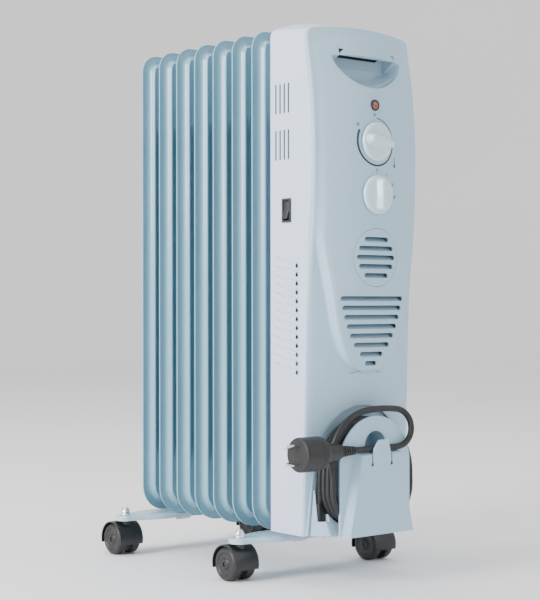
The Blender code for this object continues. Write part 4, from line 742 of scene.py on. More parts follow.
class HEATER_OT_housing(bpy.types.Operator):
    """Sheet steel shell with its vents and louvres, back panel and base plate"""
    bl_idname = "heater.housing"
    bl_label = "Housing"

    def execute(self, context):
        sizes = context.scene.heater_sizes
        loops = []
        outer_rear, outer_front = wall_outline(*ROOF_REAR), wall_outline(*ROOF_FRONT)
        inner_rear, inner_front = wall_outline(*ROOF_REAR, SHEET), wall_outline(*ROOF_FRONT, SHEET)
        shares = [0.0, 0.004, 0.012, 0.25, 0.5, 0.75, 0.988, 0.996, 1.0]
        tucks = [0.00050, 0.00012, 0.0, 0.0, 0.0, 0.0, 0.0, 0.00012, 0.00050]

        def ring(rear, front, share, inwards):
            points = []
            for (x0, z0), (x1, z1) in zip(rear, front):
                z = z0 + (z1 - z0) * share
                seam = float(eased(SEAM_LINE, z1))
                centre_z = min(z, 0.600)
                away = Vector((x0, 0, z - centre_z)).normalized()
                y = HOUSING_REAR + (seam - HOUSING_REAR) * share
                points.append(Vector((x0, y, z)) - away * inwards)
            return points

        outer = [ring(outer_rear, outer_front, share, tuck) for share, tuck in zip(shares, tucks)]
        inner = [ring(inner_rear, inner_front, share, 0.0) for share in (1.0, 0.5, 0.0)]
        bm = bmesh.new()
        rows = [[bm.verts.new(point) for point in loop] for loop in outer + inner]
        for near, far in zip(rows, rows[1:] + rows[:1]):
            for index in range(len(near) - 1):
                bm.faces.new((near[index], near[index + 1], far[index + 1], far[index]))
        for end in (0, -1):
            bm.faces.new([row[end] for row in rows])
        shell = from_bmesh(bm, "housing_shell")
        slots = []
        for middle in VENT_ROWS:
            low, high = middle - VENT_HALF_HEIGHT, middle + VENT_HALF_HEIGHT
            for number in range(4):
                y = VENT_REAR - number * VENT_PITCH
                slots.append([(y - VENT_HALF_WIDTH, low), (y + VENT_HALF_WIDTH, low),
                              (y + VENT_HALF_WIDTH, high), (y - VENT_HALF_WIDTH, high)])
        for number in range(sizes.side_louvres):
            slots.append(slanted_slot(LOUVRE_MIDDLE, LOUVRE_TOP - number * LOUVRE_PITCH))
        cut(shell, prisms("slots", slots, "X", -HALF_HOUSING - 0.01, HALF_HOUSING + 0.01))
        cut(shell, box("switch", (-HALF_HOUSING - 0.01, *SWITCH_LOW),
                       (-HALF_HOUSING + 0.01, *SWITCH_HIGH)))
        finish(shell, "chassis", "shell_paint", ["housing_side_shell"], sharp=30)

        hoods = stepped(louvre_hood(), sizes.side_louvres, "shell_paint", start=(0, 0, LOUVRE_TOP),
                        step=(0, 0, -LOUVRE_PITCH))
        other = mirrored(hoods, "louvre_hoods_right")
        hoods.name = "louvre_hoods_left"
        finish(hoods, "chassis", "shell_paint", sharp=60)
        finish(other, "chassis", "shell_paint", sharp=60)
        repaint(["housing_back_panel", "housing_base_plate"], "shell_paint")

        screw = turned("screw", (0, HOUSING_REAR, 0), "Y", rounded_profile(
            [(-0.0004, 0.0001), (-0.0004, 0.0030), (0.0010, 0.0028), (0.0019, 0.0006),
             (0.0019, 0.0001)], 0.0006), 20)
        cut(screw, box("slot", (-0.004, HOUSING_REAR + 0.0010, -0.0004),
                       (0.004, HOUSING_REAR + 0.004, 0.0004)))
        left = stepped(screw, 5, "zinc_steel", start=(-SCREW_X, 0, SCREW_BASE), step=(0, 0, SCREW_PITCH))
        right = copied(left, "right_screws")
        right.data.transform(Matrix.Translation((2 * SCREW_X, 0, 0)))
        screws = merged("back_panel_screws", [left, right])
        finish(screws, "chassis", "zinc_steel")
        return {"FINISHED"}


# ---- Front cover ------------------------------------------------------------------------------
COVER_CORNER = 0.0022
SCOOP_HALF, SCOOP_TOP, SCOOP_DROP = 0.0555, 0.6035, 0.0355
SCOOP_FLOOR = -0.100
POCKET_HALF, POCKET_FRONT, POCKET_LOW, POCKET_HIGH = 0.0430, -0.1205, 0.5915, 0.6095
POCKET_WALL = 0.0035
COVER_REACH = (-0.150, -0.110)    # cuts through the face start and stop here
GRILLE_RADIUS, GRILLE_OPENING = 0.0332, 0.0337
ROUND_SLOT_PITCH = 0.0103
ROUND_SLOTS = (0.037, 0.053, 0.059, 0.053, 0.037)      # lengths, from the top down
LOW_SLOT_TOP, LOW_SLOT_PITCH = 0.3256, 0.0106
LOW_SLOTS = (0.097, 0.092, 0.086, 0.078, 0.068, 0.055, 0.036, 0.018)
SPINDLE_HOLE, LAMP_HOLE = 0.0039, 0.0056


def cover_face(x, z, inset=0.0):
    """y of the cover's outer face, or of the surface inset behind it."""
    half = HALF_HOUSING - inset
    plain = eased(PLAIN_LINE, z) + inset
    edge = eased(EDGE_LINE, z) + inset
    away = np.abs(x)
    y = plain + (edge - plain) * (away / half) ** 2
    width = np.minimum(eased(SHIELD_HALF, z), HALF_HOUSING - 0.0006)
    flank = np.minimum(eased(SHIELD_FLANK, z), width * 0.6)
    shield = eased(SHIELD_LINE, z) + inset + x * x / (2 * SHIELD_CROWN)
    raised = smoothstep((width - inset * 0.9 - away) / flank) * (np.asarray(z) > SHIELD_BASE)
    return np.minimum(y + (shield - y) * raised, y)


def cover_loop(z, inset=0.0):
    """Plan outline of the cover at a height: face, rounded sides and a straight back."""
    half = HALF_HOUSING - inset
    width = min(float(eased(SHIELD_HALF, z)), HALF_HOUSING - 0.0006) if z > SHIELD_BASE else 0.0300
    flank = min(float(eased(SHIELD_FLANK, z)), width * 0.6) if z > SHIELD_BASE else 0.0100
    start, stop = width - inset * 0.9 - flank, width - inset * 0.9
    corner = COVER_CORNER
    xs = [start * step / 10 for step in range(11)] + [start + flank * step / 8 for step in range(1, 9)]
    last = half - corner
    xs += [stop + (last - stop) * step / 6 for step in range(1, 7)]
    if stop > last:
        xs = [min(x, last - 0.00001 * (25 - index)) for index, x in enumerate(xs)]
    points = [(x, float(cover_face(x, z, inset))) for x in xs]
    edge = float(eased(EDGE_LINE, z)) + inset
    points += [(half - corner + corner * math.sin(math.radians(angle)),
                max(edge, points[-1][1]) + corner * (1 - math.cos(math.radians(angle))))
               for angle in (25, 50, 75, 90)]
    points.append((half, -0.080))
    return [(-x, y) for x, y in reversed(points[1:])] + points


def cover_solid(name, inset=0.0):
    """The cover's full form, closed well behind its seam."""
    heights = spread_marks(HOUSING_BASE + GAP, 0.650, [(0.247, 0.010), (0.626, 0.014)], 0.0025, 0.0090)
    if inset:
        heights[0] -= 0.010
    body = loft(name, [on_plane(cover_loop(z, inset), "Z", z) for z in heights])
    half = HALF_HOUSING - inset
    outline = [(-half - 0.0001, 0.040)] + [(x * 1.0005, z) for x, z in roof_points(*ROOF_FRONT, inset)]
    outline.append((half + 0.0001, 0.040))
    return keep(body, prism("outline", outline, "Y", -0.200, -0.060))


def scoop_loop(grow):
    """Half-moon outline of the handle scoop in (x, z)."""
    half, top, drop = SCOOP_HALF + grow, SCOOP_TOP + grow, SCOOP_DROP + 2 * grow
    points = [(-half, top)]
    for step in range(1, 28):
        angle = math.pi * (1 - step / 28)
        points.append((half * math.cos(angle), top - drop * math.sin(angle) ** 1.2))
    return points + [(half, top)]


def slot_vanes(slots, height, reach=0.0075, rise=0.0062):
    """A slanted blade behind each slot, from its lower edge up and back."""
    bm = bmesh.new()
    for z, length in slots:
        half = length / 2 + 0.0015
        wall = float(cover_face(np.array(0.0), z, PANEL_WALL))
        edge = float(cover_face(np.array(half - 0.002), z, PANEL_WALL))
        low = z - height / 2 - 0.0004
        loops = []
        for step in range(9):
            x = half * (step / 4 - 1)
            y = wall + (edge - wall) * (x / half) ** 2 + 0.0001
            loops.append([Vector((x, y, low)), Vector((x, y + reach, low + rise)),
                          Vector((x, y + reach, low + rise - 0.0010)), Vector((x, y, low - 0.0010))])
        skin(bm, loops)
    return from_bmesh(bm, "slot_vanes")


class HEATER_OT_cover(bpy.types.Operator):
    """Moulded front cover with scoop, slots and winder recess, and the round grille insert"""
    bl_idname = "heater.cover"
    bl_label = "Front Cover"

    def execute(self, context):
        sizes = context.scene.heater_sizes
        cover = cover_solid("front_panel")
        cut(cover, cover_solid("room", PANEL_WALL))
        levels = [0.030] + [0.057 + 0.603 * step / 40 for step in range(41)]
        seam = [(float(eased(SEAM_LINE, z)) - GAP, z) for z in levels]
        cut(cover, prism("behind", [(-0.050, 0.030)] + seam + [(-0.050, 0.660)], "X", -0.100, 0.100))

        floor = SCOOP_FLOOR
        wall = loft("scoop_wall", [on_plane(scoop_loop(PANEL_WALL - 0.010), "Y", floor + PANEL_WALL),
                                   on_plane(scoop_loop(PANEL_WALL + 0.001), "Y", -0.1200)])
        join(wall, box("pocket_wall", (-POCKET_HALF - POCKET_WALL, POCKET_FRONT - 0.001, 0.5935),
                       (POCKET_HALF + POCKET_WALL, floor + PANEL_WALL, 0.6117)))
        join(cover, keep(wall, cover_solid("form", 0.0004)))
        depths = [(floor, -0.0200), (floor - 0.0006, -0.0160), (floor - 0.0025, -0.0125),
                  (floor - 0.0080, -0.0080), (floor - 0.0150, -0.0040), (floor - 0.0220, -0.0010),
                  (floor - 0.0260, 0.0002), (floor - 0.0420, 0.0040)]
        cut(cover, loft("scoop", [on_plane(scoop_loop(grow), "Y", y) for y, grow in depths]))
        cut(cover, box("pocket", (-POCKET_HALF, POCKET_FRONT, POCKET_LOW),
                       (POCKET_HALF, floor, POCKET_HIGH)))

        join(cover, prism("backing", doorway(0.0682, 0.2052, 0.0585, foot=0.0098), "Y", -0.1042,
                          RECESS_FLOOR + PANEL_WALL))
        cut(cover, prism("recess", doorway(0.0660, 0.2030, 0.0400, foot=0.0120), "Y", -0.1400,
                         RECESS_FLOOR))
        cut(cover, box("cable_hole", (GLAND_X - 0.0045, -0.110, GLAND_BASE + 0.006),
                       (GLAND_X + 0.0045, -0.095, GLAND_BASE + 0.015)))

        # Painted shade: a thin dark plastic strip under the scoop's lip stands in for the shadow beneath
        # the overhanging lip.
        ceiling = [(POCKET_FRONT, 0.6088), (-0.1014, 0.6088), (-0.1014, 0.6030), (-0.1006, 0.6030),
                   (-0.1006, 0.6094), (POCKET_FRONT, 0.6094)]
        shade_strip = prism("handle_painted_shade_strip", ceiling, "X", -0.0424, 0.0300)
        finish(shade_strip, "chassis", "dark_plastic")

        insert = copied(cover, "grille_disc")
        keep(insert, prism("disc", circle((0, GRILLE_Z), GRILLE_RADIUS, 72), "Y", *COVER_REACH))
        cut(cover, prism("hole", circle((0, GRILLE_Z), GRILLE_OPENING, 72), "Y", *COVER_REACH))
        tall = sizes.slot_height
        round_slots = [(GRILLE_Z + (2 - number) * ROUND_SLOT_PITCH, length)
                       for number, length in enumerate(ROUND_SLOTS)]
        low_slots = [(LOW_SLOT_TOP - number * LOW_SLOT_PITCH, length)
                     for number, length in enumerate(LOW_SLOTS)]
        cut(insert, prisms("slots", [stadium((0, z), length, tall) for z, length in round_slots], "Y",
                           *COVER_REACH))
        slots = [stadium((0, z), length, tall) for z, length in low_slots]
        slots += [circle((0, THERMOSTAT_Z), SPINDLE_HOLE, 20), circle((0, SELECTOR_Z), SPINDLE_HOLE, 20),
                  circle((0, LAMP_Z), LAMP_HOLE, 28)]
        cut(cover, prisms("slots", slots, "Y", -0.150, -0.1105))
        bevelled(cover, 0.0005, 2, 42)
        bevelled(insert, 0.0004, 2, 42)
        finish(slot_vanes(round_slots + low_slots, tall), "chassis", "cover_plastic")
        finish(cover, "chassis", "cover_plastic", ["front_cover"], sharp=38)
        finish(insert, "chassis", "cover_plastic", ["grille_insert"], sharp=38)
        return {"FINISHED"}


# ---- Dial marks -------------------------------------------------------------------------------
INK_DEPTH = 0.00012
DIAL_ARC, SELECTOR_MARKS = 0.0272, 0.0282      # radii of the printed rings
DIAL_SPAN = (4, 298)                           # clock degrees
SELECTOR_TURNS = (0, 32, 63, 93)


def inked(bm, left, right):
    """A printed band between two rows of (x, z) points, laid on the cover's face."""
    loops = []
    for (x0, z0), (x1, z1) in zip(left, right):
        y0, y1 = float(cover_face(x0, z0)), float(cover_face(x1, z1))
        loops.append([Vector((x0, y0 - INK_DEPTH, z0)), Vector((x1, y1 - INK_DEPTH, z1)),
                      Vector((x1, y1 + 0.0003, z1)), Vector((x0, y0 + 0.0003, z0))])
    skin(bm, loops)


def ink_arc(bm, centre, radius, start, end, thin, thick):
    """A band round a dial, clock angles in degrees, growing from thin to thick."""
    inner, outer = [], []
    steps = max(int((end - start) / 5), 2)
    for step in range(steps + 1):
        t = step / steps
        angle = math.radians(start + (end - start) * t)
        width = thin + (thick - thin) * t
        for line, reach in ((inner, radius - width / 2), (outer, radius + width / 2)):
            line.append((reach * math.sin(angle), centre + reach * math.cos(angle)))
    inked(bm, inner, outer)


def ink_stroke(bm, start, end, width=0.0007):
    """A straight printed stroke between two (x, z) points."""
    run = Vector(end) - Vector(start)
    across = Vector((-run.y, run.x)).normalized() * (width / 2)
    left = [tuple(Vector(start) + run * t + across) for t in (0, 0.5, 1)]
    right = [tuple(Vector(start) + run * t - across) for t in (0, 0.5, 1)]
    inked(bm, left, right)


def ink_numeral(bm, x, z, strokes, height=0.0036):
    """0, or a Roman numeral of upright strokes."""
    if not strokes:
        angles = np.linspace(0, 2 * math.pi, 17)
        inner, outer = ([(x + wide * math.sin(angle), z + tall * math.cos(angle)) for angle in angles]
                        for wide, tall in ((0.0008, 0.0013), (0.0013, 0.0018)))
        inked(bm, inner, outer)
    for number in range(strokes):
        at = x + (number - (strokes - 1) / 2) * 0.0014
        ink_stroke(bm, (at, z - height / 2), (at, z + height / 2), 0.0006)


class HEATER_OT_marks(bpy.types.Operator):
    """Printed marks round the two dials"""
    bl_idname = "heater.marks"
    bl_label = "Dial Marks"

    def execute(self, context):
        bm = bmesh.new()
        ink_arc(bm, THERMOSTAT_Z, DIAL_ARC, *DIAL_SPAN, 0.0010, 0.0030)
        for hub, rays, clear in ((Vector((-0.0262, THERMOSTAT_Z + 0.0185)), 6, 0.45),
                                 (Vector((-0.0010, THERMOSTAT_Z + 0.0312)), 3, 0.2)):
            for step in range(rays):
                angle = math.pi * step / rays
                reach = Vector((math.sin(angle), math.cos(angle))) * 0.0021
                ink_stroke(bm, hub + reach * clear, hub + reach, 0.0005)
                ink_stroke(bm, hub - reach * clear, hub - reach, 0.0005)
        ink_stroke(bm, (0.0300, 0.4805), (0.0300, 0.4885), 0.0011)
        ink_stroke(bm, (0.0300, 0.4770), (0.0300, 0.4806), 0.0026)
        for strokes, angle in enumerate(SELECTOR_TURNS):
            turn = math.radians(angle)
            ink_numeral(bm, (SELECTOR_MARKS + 0.0010) * math.sin(turn),
                        SELECTOR_Z + SELECTOR_MARKS * math.cos(turn), strokes)
        marks = from_bmesh(bm, "dial_marks")
        finish(marks, "chassis", "dark_plastic", paint="ink")
        return {"FINISHED"}


# ---- Knobs, lamp and switch -------------------------------------------------------------------
def knob(name, height, turn, sizes):
    """A round knob with a raised grip; turn tilts the grip from upright, clockwise in degrees."""
    face = float(np.interp(height, *zip(*SHIELD_LINE))) - 2 * GAP
    radius = sizes.knob_radius
    disc = turned(name, (0, 0, height), "Y", rounded_profile(
        [(0.0120, 0.0001), (0.0120, 0.0029), (0.0002, 0.0029), (0.0, 0.0040), (0.0, radius - 0.0004),
         (-0.0010, radius), (-0.0032, radius - 0.0006), (-0.0042, radius - 0.0030),
         (-0.0034, radius - 0.0060), (-0.0036, 0.0001)], 0.0008), 72)
    disc.data.transform(Matrix.Translation((0, face, 0)))
    levels = [(-0.0028, 0.0392, 0.0205), (-0.0037, 0.0388, 0.0160), (-0.0050, 0.0382, 0.0128),
              (-0.0070, 0.0374, 0.0106), (-0.0095, 0.0366, 0.0094), (-0.0116, 0.0356, 0.0086),
              (-0.0128, 0.0342, 0.0074), (-0.0134, 0.0322, 0.0052)]
    grip = loft("grip", [on_plane(stadium((0, 0), long, wide, 10), "Y", level)
                         for level, long, wide in levels])
    grip.data.transform(Matrix.Rotation(math.radians(turn - 90), 4, "Y"))
    grip.data.transform(Matrix.Translation((0, face, height)))
    join(disc, grip)
    line = box("line", (-0.0004, face - 0.0140, 0.0100), (0.0004, face - 0.0130, 0.0182))
    line.data.transform(Matrix.Rotation(math.radians(turn), 4, "Y"))
    line.data.transform(Matrix.Translation((0, 0, height)))
    cut(disc, line)
    body = name.replace("_dial", "_knob")
    finish(disc, body, "knob_plastic", [body], sharp=42)


def switch_part(name, rides_on, width):
    """The frame's own switch piece with its edges rounded off."""
    body = copied(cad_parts[name], name + "_shape")
    body.data.transform(Matrix.Translation((0, -FRONT_FIN_Y, 0)))
    weld = bmesh.new()
    weld.from_mesh(body.data)
    bmesh.ops.remove_doubles(weld, verts=weld.verts, dist=0.00002)
    bmesh.ops.dissolve_limit(weld, angle_limit=math.radians(1), verts=weld.verts, edges=weld.edges)
    weld.to_mesh(body.data)
    weld.free()
    bevelled(body, width, 2, 30)
    finish(body, rides_on, "dark_plastic", [name], sharp=60)


class HEATER_OT_controls(bpy.types.Operator):
    """Thermostat and selector knobs, pilot lamp and fan switch"""
    bl_idname = "heater.controls"
    bl_label = "Controls"

    def execute(self, context):
        sizes = context.scene.heater_sizes
        knob("thermostat_dial", THERMOSTAT_Z, -80, sizes)
        knob("selector_dial", SELECTOR_Z, 0, sizes)
        face = float(np.interp(LAMP_Z, *zip(*SHIELD_LINE)))
        lens = turned("pilot_lamp_dome", (0, face, LAMP_Z), "Y",
                      [(0.0060, 0.0001), (0.0060, 0.0049), (-0.0004, 0.0049), (-0.0012, 0.0047),
                       (-0.0019, 0.0038), (-0.0023, 0.0024), (-0.0024, 0.0001)], 40)
        finish(lens, "chassis", "lamp_lens", ["pilot_lamp_lens"])
        ring = turned("pilot_lamp_ring", (0, face, LAMP_Z), "Y",
                      [(-0.0004, 0.0064), (-0.0012, 0.0064), (-0.0018, 0.0058), (-0.0014, 0.0050),
                       (0.0030, 0.0050), (0.0030, 0.0054), (-0.0004, 0.0054)], 40, ring=True)
        finish(ring, "chassis", "dark_plastic")
        switch_part("fan_switch_bezel", "chassis", 0.0003)
        switch_part("fan_rocker", "fan_rocker", 0.0004)
        return {"FINISHED"}


# ---- Cord winder ------------------------------------------------------------------------------
WINDER_WALL = 0.0025
WINDOW_HALF, WINDOW_TOP = 0.0165, 0.1745
CLIP_ROOT_HALF = 0.0135
RELIEF_X, RELIEF_HALF, RELIEF_LOW, RELIEF_END = 0.0150, 0.0011, 0.1375, 0.0021


def turn_path(offset=0.0, steps=14):
    """One turn round the winder in (x, z), from the strain relief's tip up and over the core."""
    half, corner = COIL_HALF + offset, COIL_CORNER + offset
    low, inner = COIL_BASE + COIL_CORNER, COIL_HALF - COIL_CORNER
    right = [(half, COIL_CENTRE_Z - (COIL_CENTRE_Z - low) * t) for t in (1 / 3, 2 / 3)]
    base = [(inner - 2 * inner * t, COIL_BASE - offset) for t in (0.25, 0.5, 0.75)]
    return ([(-half, GLAND_TIP), (-half, (GLAND_TIP + COIL_CENTRE_Z) / 2)]
            + arc((0, COIL_CENTRE_Z), half, 180, 0, 2 * steps) + right
            + arc((inner, low), corner, 0, -90, steps // 2) + base
            + arc((-inner, low), corner, -90, -180, steps // 2))


def trapezium(top_half, base_half, top, base):
    """Outline in (x, z) with a level top and a wider level base."""
    return [(-top_half, top), (-base_half, base), (base_half, base), (top_half, top)]


def clip_tab():
    """The spring clip: up from the bulge, curling forward at its tip."""
    rises = [(0.1400, 0.0), (0.1480, 0.0), (0.1540, 0.0001), (0.1585, -0.0004), (0.1620, -0.0013),
             (0.1644, -0.0024), (0.1656, -0.0036)]
    loops = []
    for z, lean in rises:
        half = CLIP_ROOT_HALF * (1 - 0.37 * smoothstep((z - 0.150) / 0.0156))
        wall = 0.0019 - 0.0006 * smoothstep((z - 0.155) / 0.010)
        front = BULGE_FRONT + lean
        loops.append([Vector((-half, front, z)), Vector((half, front, z)),
                      Vector((half, front + wall, z - 0.0005 * (lean < 0))),
                      Vector((-half, front + wall, z - 0.0005 * (lean < 0)))])
    return loft("clip", loops)


class HEATER_OT_winder(bpy.types.Operator):
    """Cord winder: the core with its skirt, and the arched plate with its spring clip"""
    bl_idname = "heater.winder"
    bl_label = "Cord Winder"

    def execute(self, context):
        wall = WINDER_WALL
        front, rear = PLATE_FRONT + wall + GAP, RECESS_FLOOR - GAP
        room = CORD_DIAMETER / 2 + 2 * GAP
        core = prism("winder_core", turn_path(-room - 0.008), "Y", front, rear)
        low = [(-0.0745, rear), (-0.0590, -0.1235), (0.0590, -0.1235), (0.0745, rear)]
        high = [(-0.0690, rear), (-0.0680, -0.1050), (0.0680, -0.1050), (0.0690, rear)]
        skirt = loft("skirt", [on_plane(low, "Z", HOUSING_BASE + GAP), on_plane(high, "Z", 0.1100)])
        bevelled(skirt, 0.003, 3, 20)
        cut(skirt, prism("turns", turn_path(room + GAP), "Y", -0.140, -0.1039))
        cut(skirt, box("relief_room", (GLAND_X - 0.0056, -0.140, GLAND_BASE - 0.0006),
                       (GLAND_X + 0.0056, RECESS_FLOOR + 0.001, GLAND_TIP)))
        join(core, skirt)
        foot = box("foot", (-0.030, front, HOUSING_BASE + GAP),
                   (0.030, rear, COIL_BASE - CORD_DIAMETER / 2 - 3 * GAP))
        join(core, foot)
        cut(core, prism("clip_room", doorway(0.0160, 0.1760, 0.1300, 10), "Y", front - 0.001, -0.1080))
        bevelled(core, 0.0005, 2, 40)
        finish(core, "chassis", "cover_plastic", ["cord_winder_core"])

        plate = prism("winder_plate", doorway(0.0545, 0.1915, 0.0575, 20), "Y", PLATE_FRONT,
                      PLATE_FRONT + wall)
        profile = [(BULGE_FRONT, 0.0, 0.0), (BULGE_FRONT + 0.0016, 0.0012, 0.0012),
                   (PLATE_FRONT - 0.0008, 0.0034, 0.0022), (PLATE_FRONT + 0.001, 0.0050, 0.0034)]
        join(plate, loft("bulge", [on_plane(trapezium(0.0300 + out, 0.0490 + out, LEDGE_Z - 0.0022 + up,
                                                      0.0575), "Y", y) for y, out, up in profile]))
        behind = PLATE_FRONT + wall + 0.001
        room = [(BULGE_FRONT + wall, 0.0), (behind, 0.0035)]
        cut(plate, loft("room", [on_plane(trapezium(0.0280 + out, 0.0460 + out, LEDGE_Z - 0.004, 0.0605),
                                          "Y", y) for y, out in room]))
        cut(plate, prism("window", doorway(WINDOW_HALF, WINDOW_TOP, LEDGE_Z + 0.0004, 10), "Y",
                         PLATE_FRONT - 0.002, behind))
        for x in (-RELIEF_X, RELIEF_X):
            slot = box("relief", (x - RELIEF_HALF, BULGE_FRONT - 0.001, RELIEF_LOW),
                       (x + RELIEF_HALF, behind, LEDGE_Z + 0.004))
            cut(plate, slot)
            cut(plate, prism("end", circle((x, RELIEF_LOW), RELIEF_END, 20), "Y", BULGE_FRONT - 0.001,
                             behind))
        join(plate, clip_tab())
        bevelled(plate, 0.0005, 2, 35)
        finish(plate, "chassis", "cover_plastic", ["cord_winder_plate"])
        return {"FINISHED"}


# ---- Mains cord -------------------------------------------------------------------------------
PIN_PITCH = 0.0190


def cord_line():
    """The cord's middle line: the turns round the winder, then the free stretch to the plug."""
    turn = turn_path()
    lengths = [0.0]
    for (x0, z0), (x1, z1) in zip(turn, turn[1:] + turn[:1]):
        lengths.append(lengths[-1] + math.hypot(x1 - x0, z1 - z0))
    pitch = (LEAD_ROUTE[0][1] - GLAND_Y) / COIL_TURNS
    line = []
    for number in range(COIL_TURNS):
        for (x, z), run in zip(turn, lengths):
            line.append(Vector((x, GLAND_Y + pitch * (number + run / lengths[-1]), z)))
    return line + route_curve([Vector((-COIL_HALF, LEAD_ROUTE[0][1], GLAND_TIP))] + LEAD_ROUTE, 6)


class HEATER_OT_cord(bpy.types.Operator):
    """Mains cord wound round the core, its strain relief and the plug held in the clip"""
    bl_idname = "heater.cord"
    bl_label = "Mains Cord"

    def execute(self, context):
        radius = CORD_DIAMETER / 2
        line = cord_line()
        cord = bar("mains_cord", line, radius, 20)
        finish(cord, "chassis", "cord_rubber", ["cord_coil", "cord_lead"], sharp=60)

        boot = box("cord_boot", (GLAND_X - 0.0050, GLAND_Y - 0.0042, GLAND_BASE),
                   (GLAND_X + 0.0050, RECESS_FLOOR - GAP, GLAND_BASE + 0.0200))
        bevelled(boot, 0.0012, 3, 30)
        ribs = []
        for number in range(6):
            low = GLAND_BASE + 0.0190 + number * 0.0036
            wide = 0.0041 - number * 0.00003
            ribs += [(low, wide), (low + 0.0024, wide), (low + 0.0026, wide - 0.0006),
                     (low + 0.0034, wide - 0.0006)]
        ribs += [(GLAND_TIP - 0.0003, 0.0039), (GLAND_TIP, 0.0037)]
        join(boot, turned("cone", (GLAND_X, GLAND_Y, 0), "Z", ribs, 28))
        join(boot, box("stub", (GLAND_X - 0.0040, RECESS_FLOOR - 0.001, GLAND_BASE + 0.0065),
                       (GLAND_X + 0.0040, RECESS_FLOOR + 0.0080, GLAND_BASE + 0.0145)))
        finish(boot, "chassis", "cord_rubber", ["cord_gland"])

        profile = [(0.0, radius + 0.0004), (-0.0004, radius + 0.0009)]
        for number in range(6):
            start = -0.0012 - number * 0.0037
            wide = radius + 0.0012 + number * 0.00035
            profile += [(start, wide), (start - 0.0022, wide), (start - 0.0024, wide - 0.0009),
                        (start - 0.0035, wide - 0.0009)]
        profile += rounded_profile([
            (-0.0238, 0.0070), (-0.0244, 0.0088), (-0.0330, 0.0100), (-0.0440, 0.0122), (-0.0485, 0.0136),
            (-0.0512, 0.0172), (-0.0530, 0.0188), (-0.0560, 0.0192), (-0.0590, 0.0192), (-0.0596, 0.0186),
            (-0.0612, 0.0186), (-0.0618, 0.0192), (-0.0826, 0.0192), (-0.0845, 0.0178), (-0.0845, 0.0001)],
            0.0012)
        plug = turned("mains_plug", (PLUG_END, PLUG_Y, LEAD_Z), "X", profile, 64)
        finish(plug, "chassis", "cord_rubber", ["plug"], sharp=30)
        pin_profile = rounded_profile([(0.0, 0.0001), (0.0, 0.0024), (-0.0180, 0.0024), (-0.0196, 0.0016),
                                       (-0.0200, 0.0001)], 0.0009)
        pin = turned("pin", (PLUG_END - 0.0838, PLUG_Y, LEAD_Z), "X", pin_profile, 24)
        pins = stepped(pin, 2, "chrome", start=(0, 0, -PIN_PITCH / 2), step=(0, 0, PIN_PITCH))
        pins.name = "plug_pins"
        finish(pins, "chassis", "chrome")

        return {"FINISHED"}


# ---- Feet -------------------------------------------------------------------------------------
CASTER_REACH = 0.110      # from the middle to a caster's stem
TIP_RADIUS, TIP_ANGLE = 0.0130, 66
WAIST_REACH, WAIST_HALF = 0.062, 0.0250


def bracket_loop(middle, inset):
    """Foot bracket seen from above: wide waist, round tips."""
    tip, half = TIP_RADIUS - inset, WAIST_HALF - inset
    right = arc((CASTER_REACH, middle), tip, -TIP_ANGLE, TIP_ANGLE, 14)
    start = CASTER_REACH + tip * math.cos(math.radians(TIP_ANGLE))
    side = tip * math.sin(math.radians(TIP_ANGLE))
    upper = []
    for step in range(1, 14):
        t = step / 14
        upper.append((start + (WAIST_REACH - start) * t, middle + side + (half - side) * smoothstep(t)))
    upper.append((WAIST_REACH, middle + half))
    left_upper = [(-x, y) for x, y in reversed(upper)]
    left = [(-x, y) for x, y in reversed(right)]
    lower = [(x, 2 * middle - y) for x, y in reversed(upper + left_upper)]
    return right + upper + left_upper + left + lower


class HEATER_OT_feet(bpy.types.Operator):
    """Pressed foot brackets with their cap nuts, U-bolts and wing nuts"""
    bl_idname = "heater.feet"
    bl_label = "Feet"

    def execute(self, context):
        for name, middle in (("front_feet_bracket", FRONT_FEET), ("rear_feet_bracket", REAR_FEET)):
            top = BRACKET_TOP
            levels = [(BRACKET_BASE, 0.0), (top - 0.0024, 0.0), (top - 0.0012, 0.0004),
                      (top - 0.0004, 0.0011), (top, 0.0024)]
            plate = loft(name + "_pressing", [on_plane(bracket_loop(middle, inset), "Z", z)
                                              for z, inset in levels])
            cut(plate, prism("hollow", bracket_loop(middle, 0.0015), "Z", BRACKET_BASE - 0.001,
                             top - 0.0015))
            finish(plate, "chassis", "foot_paint", [name], sharp=40)

        seat = BRACKET_TOP + GAP
        washer = turned("cap_nuts", (0, 0, 0), "Z", rounded_profile(
            [(0.0262, 0.0001), (0.0262, 0.0025), (seat, 0.0025), (seat, 0.0066), (seat + 0.0010, 0.0066),
             (seat + 0.0010, 0.0048), (seat + 0.0010, 0.0001)], 0.0003), 32)
        nut = prism("hexagon", circle((0, 0), 0.0060, 6), "Z", seat + 0.0005, seat + 0.0050)
        bevelled(nut, 0.0004, 2, 30)
        join(washer, nut)
        dome = [(seat + 0.0045, 0.0050)]
        for angle in range(0, 91, 10):
            dome.append((seat + 0.0050 + 0.0052 * math.sin(math.radians(angle)),
                         0.0050 * math.cos(math.radians(angle)) + 0.0001))
        join(washer, turned("dome", (0, 0, 0), "Z", dome, 32))
        pair = stepped(washer, 2, "chrome", start=(-CASTER_REACH, FRONT_FEET, 0),
                       step=(2 * CASTER_REACH, 0, 0))
        nuts = stepped(pair, 2, "chrome", step=(0, REAR_FEET - FRONT_FEET, 0))
        nuts.name = "caster_cap_nuts"
        finish(nuts, "chassis", "chrome", [f"caster_{place}_bolt" for place in PLACES])
        repaint([f"{end}_u_bolt" for end in ("front", "rear")]
                + [f"{end}_wing_nut_{side}" for end in ("front", "rear") for side in ("left", "right")],
                "zinc_steel")
        return {"FINISHED"}


# ---- Casters ----------------------------------------------------------------------------------
FENDER_RADIUS, FENDER_ROOM, FENDER_HALF = 0.0226, 0.0210, 0.0170
AXLE_HALF, AXLE_RADIUS = 0.0155, 0.0025


